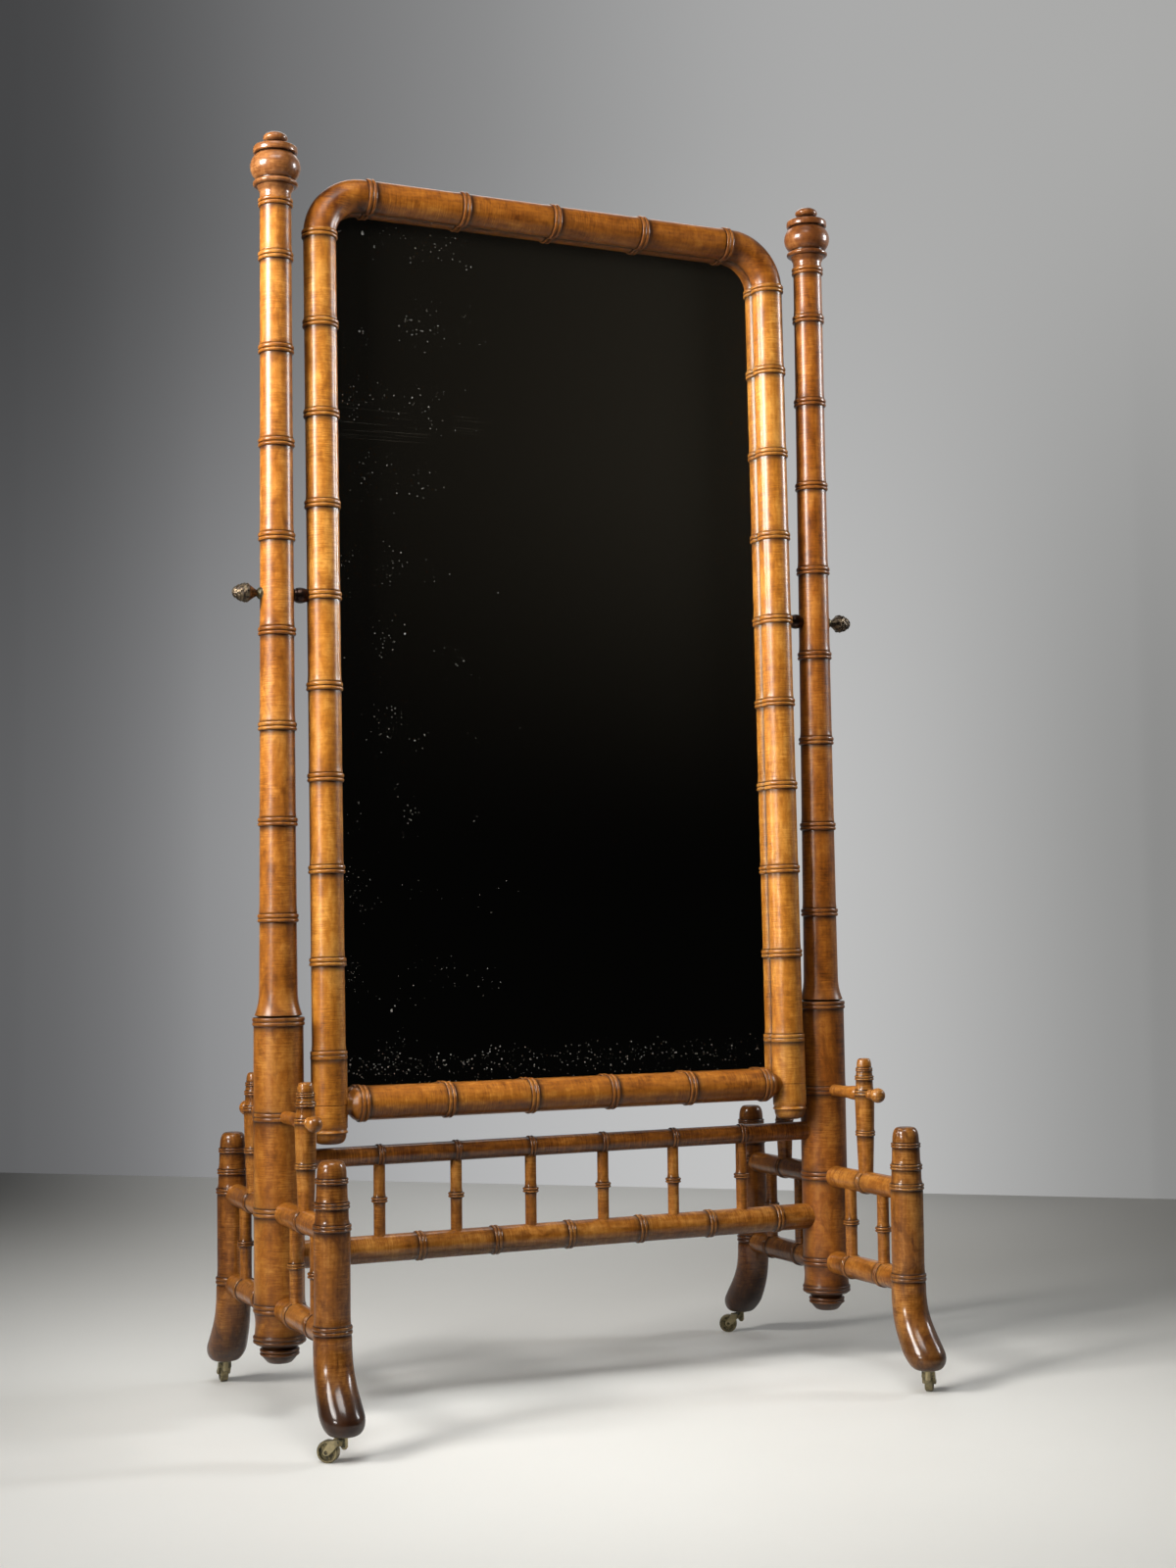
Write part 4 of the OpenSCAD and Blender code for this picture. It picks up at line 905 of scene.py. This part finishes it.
def mirror_plate():
    """Silvered glass with pale specks of lost silver, a faint haze and fine scratches, in its own space."""
    graph = Graph("aged_mirror")
    place = graph.local()
    across, _, height = graph.split(place)
    left = graph.span(across, -0.36, -0.03, 1.0, 0.0)
    low = graph.span(height, 0.47, 0.53, 1.0, 0.0)
    zone = graph.times(graph.span(graph.streaks(place, 13, 6, 3, 0.6), 0.43, 0.64), left)
    patch = graph.span(graph.streaks(place, 30, 15), 0.69, 0.72)

    fine = specks(graph, place, 400, 0.4, graph.times(zone, 0.26))
    large = specks(graph, place, 170, 0.42, graph.times(patch, left))
    edge = specks(graph, place, 420, 0.45, graph.times(low, 0.3))
    scratch = scratches(graph, place, height, left)
    dull = graph.math("MAXIMUM", graph.math("MAXIMUM", fine, large), graph.math("MAXIMUM", edge, scratch))
    high = graph.span(height, 0.75, 1.45)
    haze = graph.times(graph.line(graph.span(across, -0.3, 0.35), 0.6, 0.4), high)
    veil = graph.math("MAXIMUM", graph.times(dull, 0.75), graph.times(haze, 0.04))
    silver = graph.shader(Base_Color=SILVER, Metallic=1.0, Roughness=0.02)
    grey = graph.shader(Base_Color=graph.mix(dull, HAZE, LOST_SILVER), Roughness=0.5)
    return graph.surface(graph.blend(veil, silver, grey))


def back_boards():
    """Plain dark wood with a long grain, unpolished."""
    graph = Graph("back_boards")
    place = graph.local()
    grain = graph.streaks(place, 260, 6, 4, 0.6)
    slow = graph.streaks(place, 14, 2, 3)
    value = graph.math("ADD", graph.times(grain, 0.6), graph.times(slow, 0.5))
    dark, mid, light = (0.10, 0.055, 0.026), (0.20, 0.115, 0.055), (0.29, 0.18, 0.09)
    colour = graph.ramp(value, [(0.3, dark), (0.6, mid), (0.8, light)])
    return graph.surface(graph.shader(
        Normal=graph.bump(grain, 0.4, 0.0006), Base_Color=colour, Roughness=0.72))


# Each wood has a dark, a middle and a light tone, and the stain of its grooves, towards which painted shade
# also darkens
POST_WOOD = wood(
    "post_figured", (0.12, 0.031, 0.004), (0.40, 0.135, 0.014), (0.70, 0.31, 0.060), (0.030, 0.011, 0.005),
    smoke=0.6)
LEG_WOOD = wood(
    "leg_figured", (0.085, 0.024, 0.004), (0.27, 0.095, 0.012), (0.53, 0.235, 0.052), (0.022, 0.008, 0.004),
    gloss=0.65, polish=0.15, smoke=0.85)
ARM_WOOD = wood(
    "arm_figured", (0.095, 0.027, 0.004), (0.325, 0.115, 0.013), (0.61, 0.28, 0.058), (0.028, 0.010, 0.004),
    gloss=0.7, polish=0.19, smoke=0.6)
LIGHT_WOOD = wood(
    "frame_figured", (0.14, 0.037, 0.004), (0.45, 0.160, 0.016), (0.76, 0.36, 0.070), (0.034, 0.012, 0.005))
DARK_WOOD = wood(
    "dark_figured", (0.09, 0.028, 0.008), (0.26, 0.098, 0.028), (0.50, 0.24, 0.085), (0.026, 0.010, 0.005),
    gloss=0.75, rough=0.4, polish=0.2, smoke=0.4)
OLD_BRASS = brass("old_brass", (0.20, 0.165, 0.085), (0.055, 0.05, 0.035), (0.5, 0.42, 0.24))
DARK_BRASS = brass("dark_brass", (0.16, 0.12, 0.075), (0.035, 0.026, 0.02), (0.45, 0.38, 0.27), 0.42)
SPACER_BRASS = brass("dark_spacer", (0.06, 0.032, 0.022), (0.025, 0.014, 0.012), (0.22, 0.12, 0.07), 0.34)
MIRROR = mirror_plate()
BACK = back_boards()

# Kinds of pieces: the body that they ride on, their material slot and their material
POST = ("stand", "post_wood", POST_WOOD)
FINIAL = ("stand", "dark_wood", DARK_WOOD)
LEG = ("stand", "post_wood", LEG_WOOD)
ARM = ("stand", "light_wood", ARM_WOOD)
KNOB = ("stand", "dark_wood", ARM_WOOD)
FRAME_WOOD = ("mirror_frame", "light_wood", LIGHT_WOOD)
SPACER = ("mirror_frame", "dark_brass", SPACER_BRASS)

# The stand

SIDES = (("left", -1), ("right", 1))
QUARTERS = (("front_left", -1, -1), ("front_right", 1, -1), ("rear_left", -1, 1), ("rear_right", 1, 1))
# How dark each foot is towards the bottom, by quarter: the feet are dark, and the rear right one is darker
# still as painted shade
FOOT_DARK = (0.95, 0.65, 0.45, 0.8)
FOOT_DARK_TOP = 150
FOOT_DARK_RUN = 80
DOME_DARK = 0.12
LEG_SIDES = 72
# By quarter: besides their own tone, the front right pieces are painted lighter and the rear right ones
# darker and redder, as painted light and shade
LEG_TONE_AND_PAINTED_LIGHT = (-0.07, 0.12, -0.05, -0.24)
LEG_WARM_AND_SHADE = (0.15, 0.1, 0.2, 0.35)
ARM_TONE_AND_PAINTED_LIGHT = (-0.03, 0.03, -0.02, -0.2)


def post_shade(z):
    """The turned drop is nearly black, the thick part darker than the thin one."""
    if z < BASE_RING_Z + 4:
        return 0.5
    if z < TRANSITION_Z:
        return 0.2 + 0.2 * exp((BASE_RING_Z - z) / 40)
    return 0.2 * exp((TRANSITION_Z - z) / 120)


# The right post's darker, redder tone is partly its own wood and partly painted shade
def add_post(index, side, sx):
    turn_piece(f"{side}_post", at(sx * POST_X, 0, 0), POST, post_outline(), 96, post_shade,
               seed=0.13 + 0.41 * index, tone=0.03 - 0.06 * index, warm=0.05 + 0.35 * index)


def add_finial(index, side, sx):
    turn_piece(f"{side}_finial", at(sx * POST_X, 0, POST_TOP_Z + PLACE_GAP), FINIAL, finial_outline(), 72,
               seed=0.37 + 0.29 * index, tone=0.04 - 0.1 * index, warm=0.5 * index)


def add_leg(index, quarter, place):
    """A turned leg that runs on into its swept foot, which is dark at the bottom."""
    turn = circle(LEG_SIDES)
    foot = foot_rows()
    leg = filled_outline(leg_outline())
    rows = [[(half_x * c, offset + (half_y - FOOT_SKIN) * s, z) for c, s in turn]
            for z, half_x, half_y, offset in foot]
    rows += [[(point[1] * c, point[1] * s, point[0]) for c, s in turn] for point in leg]
    dark = [FOOT_DARK[index] * min(1.0, max(0.0, (FOOT_DARK_TOP - z) / FOOT_DARK_RUN)) ** 1.4
            for z, _, _, _ in foot]
    for point, stain_and_shade in zip(leg, stain_and_hollow_shade(leg)):
        on_dome = point[0] > UPPER_RAIL_Z + LEG_RISE * 0.74
        dark.append(min(1.0, stain_and_shade + (DOME_DARK if on_dome else 0.0)))
    solid = Solid()
    solid.rows(rows, dark)
    solid.piece(f"{quarter}_leg", place @ at(0, LEG_Y, 0), LEG,
                seed=0.21 + 0.17 * index, tone=LEG_TONE_AND_PAINTED_LIGHT[index], warm=LEG_WARM_AND_SHADE[index])


def add_side_rails(index, quarter, place):
    half = SIDE_SPINDLE_PITCH / 2
    for node, z, r, rings, seed in (
            ("upper_rail", UPPER_RAIL_Z, UPPER_RAIL_R, [ARM_Y], 0.31 + 0.13 * index),
            ("lower_rail", LOWER_RAIL_Z, LOWER_RAIL_R, [ARM_Y - half, ARM_Y + half], 0.44 + 0.11 * index)):
        turn_piece(f"{quarter}_{node}", place @ at(0, 0, z) @ TURN_Y, ARM, side_rail_outline(r, rings), 64,
                   seed=seed, tone=ARM_TONE_AND_PAINTED_LIGHT[index], warm=0.2)


def add_side_spindles(index, quarter, place):
    low, high = pinned(LOWER_RAIL_Z, LOWER_RAIL_R, UPPER_RAIL_Z, UPPER_RAIL_R)
    half = SIDE_SPINDLE_PITCH / 2
    solid = Solid()
    for step in (-half, half):
        solid.turned(spindle_outline(SIDE_SPINDLE_R, low, high), 48, (0, ARM_Y + step))
    solid.piece(f"{quarter}_spindles", place, ARM,
                seed=0.52 + 0.09 * index, tone=ARM_TONE_AND_PAINTED_LIGHT[index] - 0.02, warm=0.1)


def add_spike(index, quarter, place):
    turn_piece(f"{quarter}_spike", place @ at(0, ARM_Y, 0), ARM, spike_outline(), 56,
               seed=0.63 + 0.07 * index, tone=ARM_TONE_AND_PAINTED_LIGHT[index], warm=0.1)


def add_peg(index, quarter, place):
    turn_piece(f"{quarter}_peg", place @ at(0, 0, PEG_Z) @ TURN_Y, ARM, peg_outline(), 48,
               seed=0.71 + 0.05 * index, tone=ARM_TONE_AND_PAINTED_LIGHT[index], warm=0.2)


def add_knobs():
    solid = Solid()
    for _, sx, sy in QUARTERS:
        solid.turned(knob_outline(), 48, place=corner(sx, sy) @ at(0, 0, PEG_Z) @ TURN_Y)
    solid.piece("peg_knobs", WHERE_MADE, KNOB, seed=0.83, tone=0.06, warm=0.1)


def add_stretchers():
    over_spindles = [spindle_x(i) for i in range(SPINDLES)]
    beside_spindles = [spindle_x(i - 0.5) for i in range(SPINDLES + 1)]
    turn_piece("upper_stretcher", at(0, 0, UPPER_STRETCHER_Z) @ TURN_X, ARM,
               stretcher_outline(UPPER_STRETCHER_R, over_spindles, RING_W * 0.75), 56,
               seed=0.27, tone=-0.17, warm=0.35)
    turn_piece("lower_stretcher", at(0, 0, LOWER_STRETCHER_Z) @ TURN_X, ARM,
               stretcher_outline(LOWER_STRETCHER_R, beside_spindles, RING_W * 0.9), 64,
               seed=0.59, tone=0.03, warm=0.1)


def add_stretcher_spindles():
    low, high = pinned(LOWER_STRETCHER_Z, LOWER_STRETCHER_R, UPPER_STRETCHER_Z, UPPER_STRETCHER_R)
    solid = Solid()
    for i in range(SPINDLES):
        solid.turned(spindle_outline(SPINDLE_R, low, high), 48, (spindle_x(i), 0))
    solid.piece("stretcher_spindles", WHERE_MADE, ARM, seed=0.91, tone=-0.04, warm=0.1)


for index, (side, sx) in enumerate(SIDES):
    add_post(index, side, sx)
    add_finial(index, side, sx)
for index, (quarter, sx, sy) in enumerate(QUARTERS):
    for add in (add_leg, add_side_rails, add_side_spindles, add_spike, add_peg):
        add(index, quarter, corner(sx, sy))
add_knobs()
add_stretchers()
add_stretcher_spindles()

# The mirror frame

ELBOW_SIDES = 72
ELBOW_STEPS = 30


def stile_shade(z):
    """The block at the bottom of a stile is darker, and its cup darker still."""
    if z < STILE_BOTTOM_H + BLOCK_R * 0.6:
        return 0.45
    return 0.16 if z < BLOCK_TOP_H else 0.0


def add_stile(index, side, sx, cutters):
    turn_piece(f"{side}_stile", IN_FRAME @ at(sx * STILE_X, 0, 0), FRAME_WOOD, stile_outline(), 72,
               stile_shade, seed=0.17 + 0.47 * index, tone=0.02 + 0.02 * index, cutters=cutters)


def add_elbow(index, side, sx, cutters):
    """A quarter of a round bend, darker inside the bend and at both ends."""
    rows, dark = [], []
    around = [-2 * pi * i / ELBOW_SIDES for i in range(ELBOW_SIDES)]
    for a in arc(0, 90, ELBOW_STEPS):
        reaches = [ELBOW_R + FRAME_R * cos(b) for b in around]
        rows.append([(cos(a) * reach, FRAME_R * sin(b), sin(a) * reach)
                     for reach, b in zip(reaches, around)])
        near_end = 0.25 * max(0.0, 1 - sin(2 * a) * 1.6)
        dark.append([min(1.0, near_end + 0.3 * max(0.0, -cos(b))) for b in around])
    solid = Solid()
    solid.rows(rows, dark)
    turn = spin(0 if sx > 0 else 180, "Z")
    solid.piece(f"{side}_elbow", IN_FRAME @ at(sx * ELBOW_X, 0, ELBOW_H) @ turn, FRAME_WOOD, ending="bent",
                seed=0.43 + 0.31 * index, tone=-0.20 + 0.04 * index, warm=0.45, cutters=cutters)


def add_frame_rails(cutters):
    turn_piece("top_rail", IN_FRAME @ at(0, 0, TOP_RAIL_H) @ TURN_BACK_X, FRAME_WOOD, top_rail_outline(), 72,
               seed=0.77, tone=-0.12, warm=0.4, cutters=cutters)
    turn_piece("bottom_rail", IN_FRAME @ at(0, 0, BOTTOM_RAIL_H) @ TURN_BACK_X, FRAME_WOOD,
               bottom_rail_outline(), 72, seed=0.35, tone=-0.04, warm=0.25, cutters=cutters)


CUTTERS = [pane_cutter("cut_glass", -GLASS_INSET, GLASS_SETBACK),
           pane_cutter("cut_back", BACK_OVERLAP, SHELF_Y)]
for index, (side, sx) in enumerate(SIDES):
    add_stile(index, side, sx, CUTTERS)
    add_elbow(index, side, sx, CUTTERS)
add_frame_rails(CUTTERS)
for cutter in CUTTERS:
    bpy.data.objects.remove(cutter)

# The pivots


def outward(sx):
    """Turns local Z to the outside of one side."""
    return spin(90 * sx, "Y")


def add_spacers():
    solid = Solid()
    for _, sx in SIDES:
        solid.turned(spacer_outline(), 48, place=at(sx * STILE_SEAT_X, 0, 0) @ outward(sx))
    solid.piece("pivot_spacers", IN_FRAME, SPACER, seed=0.1)


def add_collar(side, sx):
    turn_piece(f"{side}_collar", at(sx * (COLLAR_SEAT_X + PLACE_GAP), 0, PIVOT_Z) @ outward(sx),
               (f"{side}_collar", "old_brass", OLD_BRASS), collar_outline(), 48, seed=0.2)


def add_thumbscrew(side, sx):
    rows = cone_rows(96)
    screw_start = STILE_SEAT_X - INSERT_L - INSERT_PLAY - CONE_X
    solid = Solid()
    solid.rows(rows, [0.0] * len(rows))
    solid.turned([(screw_start, SCREW_R), (CONE_L * 0.2, SCREW_R)], 32)
    solid.piece(f"{side}_thumbscrew", at(sx * (CONE_X + PLACE_GAP), 0, PIVOT_Z) @ outward(sx),
                (f"{side}_thumbscrew", "dark_brass", DARK_BRASS), seed=0.3, ending="cone", sharp=60)


add_spacers()
for side, sx in SIDES:
    add_collar(side, sx)
    add_thumbscrew(side, sx)

# CAD nodes that stay


def dress(node, material):
    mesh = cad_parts[node].data
    mesh.materials.clear()
    mesh.materials.append(material)


dress("mirror_glass", MIRROR)
dress("backboard", BACK)
for name in ("backboard_screws", "pivot_inserts", "caster_plates"):
    dress(name, OLD_BRASS)
for quarter, _, _ in QUARTERS:
    for part in ("horn", "axle", "wheel"):
        dress(f"{quarter}_{part}", OLD_BRASS)

# Floor and wall

FLOOR_COLOUR = (0.90, 0.90, 0.87)
FLOOR_CLOUD = (0.45, 0.45, 0.42)
FLOOR_BOUNCE = (0.09, 0.09, 0.085)
FLOOR_HALF = 14
FLOOR_FRONT = -12
WALL_NORMAL = Vector((-0.663, -0.748, 0)).normalized()
WALL_ALONG = Vector((0.748, -0.663, 0)).normalized()
WALL_AWAY = 2.47
WALL_HALF = 9
WALL_HEIGHT = 7
# Painted light on the wall: its brightness low down and high up, by the distance along it in metres
WALL_LEFT, WALL_RIGHT = -2.5, 0.8
WALL_LOW = ((-2.4, 0.117), (-2.1, 0.171), (-1.83, 0.254), (-1.19, 0.43), (-0.39, 0.56), (0.0, 0.52),
            (0.34, 0.42), (0.73, 0.26))
WALL_HIGH = ((-2.4, 0.06), (-2.1, 0.08), (-1.6, 0.159), (-0.97, 0.254), (-0.45, 0.362), (0.0, 0.413),
             (0.78, 0.402))


def flat_sheet(name, points, material):
    mesh = new_mesh(name, points, [tuple(range(len(points)))])
    mesh.materials.append(material)
    new_object(name, mesh)


def shown_ray(graph):
    """1 for the rays that see the stage, 0 for the rays that only carry its light."""
    rays = graph.node("LightPath").outputs
    seen = graph.math("MAXIMUM", rays["Is Camera Ray"], rays["Is Glossy Ray"])
    return graph.math("MAXIMUM", seen, rays["Is Transmission Ray"])


def floor_material():
    """Pale floor with painted light: palest around the object, darker to the right, the back and the far
    left as painted shade, and a faint painted glow in the middle towards the wall.
    """
    graph = Graph("pale_floor")
    place = graph.local()
    x, y, _ = graph.split(place)
    # Painted light and shade: the floor's colour falls off to the right, the back and the far left
    rightward = graph.span(x, 0.1, 2.2, 1.0, 0.5)
    backward = graph.span(y, 0.2, 3.4, 1.0, 0.74)
    leftward = graph.span(x, -1.0, -0.1, 0.84, 1.0)
    level = graph.times(graph.times(rightward, backward), leftward)
    colour = graph.mix(level, (0.0, 0.0, 0.0), FLOOR_COLOUR)
    cloud = graph.noise(place, 2.1, 3, 0.55)
    colour = graph.mix(graph.times(cloud, 0.10), colour, FLOOR_CLOUD)
    colour = graph.mix(shown_ray(graph), FLOOR_BOUNCE, colour)
    # A painted glow in the middle towards the wall, seen only by the rays that see the stage
    far = graph.times(graph.span(y, 0.6, 2.0), graph.span(x, -0.5, 0.7))
    far = graph.times(far, graph.span(x, 1.2, 2.1, 1.0, 0.25))
    glow = graph.times(graph.times(far, 0.2), shown_ray(graph))
    return graph.surface(graph.shader(
        Base_Color=colour, Roughness=0.55, IOR=1.35, Specular_IOR_Level=0.15,
        Emission_Color=(1.0, 1.0, 0.97), Emission_Strength=glow))


def wall_stops(levels):
    """Grey ramp stops from pairs of distance along the wall and brightness."""
    return [((along - WALL_LEFT) / (WALL_RIGHT - WALL_LEFT), (grey, grey, grey)) for along, grey in levels]


def wall_material():
    """Grey wall that glows with painted light, darker to the left and brightest low down a little right of
    the middle, seen only from its front.
    """
    graph = Graph("grey_wall")
    geometry = graph.node("NewGeometry")
    place = geometry.outputs["Position"]
    along = graph.vector("DOT_PRODUCT", place, tuple(WALL_ALONG), "Value")
    height = graph.split(place)[2]
    share = graph.node("MapRange", {0: along, 1: WALL_LEFT, 2: WALL_RIGHT}).outputs[0]
    low = graph.ramp(share, wall_stops(WALL_LOW), "B_SPLINE")
    high = graph.ramp(share, wall_stops(WALL_HIGH), "B_SPLINE")
    level = graph.mix(graph.span(height, 0.8, 2.9), low, high)
    cast = graph.mix(share, (0.99, 1.0, 1.03), (1.0, 1.0, 0.985))
    glow = graph.shader("Emission", Color=cast, Strength=level)
    paint = graph.shader("BsdfDiffuse", Color=(0.2, 0.2, 0.2))
    seen = graph.blend(shown_ray(graph), paint, glow)
    clear = graph.shader("BsdfTransparent")
    return graph.surface(graph.blend(geometry.outputs["Backfacing"], seen, clear))


def add_floor():
    flat_sheet("floor", [(-FLOOR_HALF, FLOOR_FRONT, 0), (FLOOR_HALF, FLOOR_FRONT, 0),
                         (FLOOR_HALF, FLOOR_HALF, 0), (-FLOOR_HALF, FLOOR_HALF, 0)], floor_material())


def add_wall():
    foot = -WALL_NORMAL * WALL_AWAY
    left, right = foot - WALL_ALONG * WALL_HALF, foot + WALL_ALONG * WALL_HALF
    flat_sheet("wall", [(left.x, left.y, 0), (right.x, right.y, 0), (right.x, right.y, WALL_HEIGHT),
                        (left.x, left.y, WALL_HEIGHT)], wall_material())


add_floor()
add_wall()

# Lamps and world

GLOSSY_SKY = (0.95, 0.97, 1.0)
PLAIN_SKY = (1.0, 0.95, 0.85)
BACKDROP = (0.40, 0.40, 0.405)


def area(name, place, aim, size, energy, colour, spread):
    """A rectangular lamp at place that faces aim; size in metres, spread in degrees."""
    lamp = bpy.data.lights.new(name, "AREA")
    lamp.shape, lamp.size, lamp.size_y = "RECTANGLE", size[0], size[1]
    lamp.energy, lamp.color, lamp.spread = energy, colour, radians(spread)
    obj = new_object(name, lamp)
    obj.location = place
    obj.rotation_mode = "QUATERNION"
    obj.rotation_quaternion = (Vector(aim) - Vector(place)).to_track_quat("-Z", "Y")


def studio_world():
    """Grey for the camera, a faint glow for reflections and next to none for other rays."""
    graph = Graph("studio", "worlds", "OutputWorld")
    rays = graph.node("LightPath").outputs
    glossy = graph.shader("Background", Color=GLOSSY_SKY, Strength=0.025)
    plain = graph.shader("Background", Color=PLAIN_SKY, Strength=0.0015)
    ambient = graph.blend(rays["Is Glossy Ray"], glossy, plain)
    backdrop = graph.shader("Background", Color=BACKDROP, Strength=1.0)
    return graph.surface(graph.blend(rays["Is Camera Ray"], ambient, backdrop))


area("key", (-2.75, -0.62, 2.2), (0.05, 0.0, 1.85), (1.15, 1.0), 56, (1.0, 0.965, 0.92), 90)
area("low_window", (-2.9, -1.25, 1.0), (0.5, -0.35, 0.15), (0.7, 0.4), 4, (1.0, 0.97, 0.94), 60)
area("side_window", (3.1, -0.75, 2.2), (0.0, 0.0, 1.75), (0.5, 1.1), 14, (0.97, 0.98, 1.0), 70)
area("rear", (0.5, 1.7, 3.3), (0.1, 0.2, 0.7), (1.8, 0.7), 4.5, (1.0, 1.0, 0.99), 110)
area("overhead", (-0.6, -1.2, 4.6), (-0.6, -0.9, 0.0), (2.2, 2.2), 5, (1.0, 1.0, 0.99), 100)
area("floor_pool", (-0.9, -1.3, 3.0), (-0.6, -0.3, 0.0), (1.4, 0.8), 10.5, (1.0, 1.0, 0.98), 90)
bpy.context.scene.world = studio_world()

# Camera

CAMERA_PLACE = (-1.3754, -3.0622, 0.6903)
YAW, PITCH, ROLL = radians(24.85), radians(3.63), radians(-0.72)
FOCAL_LENGTH = 50.9
SENSOR_WIDTH = 36.0
CLIP_START = 0.05


def add_camera():
    ahead = Vector((sin(YAW) * cos(PITCH), cos(YAW) * cos(PITCH), sin(PITCH)))
    level = Vector((cos(YAW), -sin(YAW), 0))
    upright = level.cross(ahead)
    right = level * cos(ROLL) + upright * sin(ROLL)
    up = upright * cos(ROLL) - level * sin(ROLL)
    lens = bpy.data.cameras.new("camera")
    lens.lens, lens.sensor_width, lens.clip_start = FOCAL_LENGTH, SENSOR_WIDTH, CLIP_START
    camera = new_object("camera", lens)
    turn = Matrix((right, up, -ahead)).transposed().to_4x4()
    camera.matrix_world = Matrix.Translation(CAMERA_PLACE) @ turn
    bpy.context.scene.camera = camera


add_camera()
bpy.context.scene.view_settings.view_transform = "Standard"
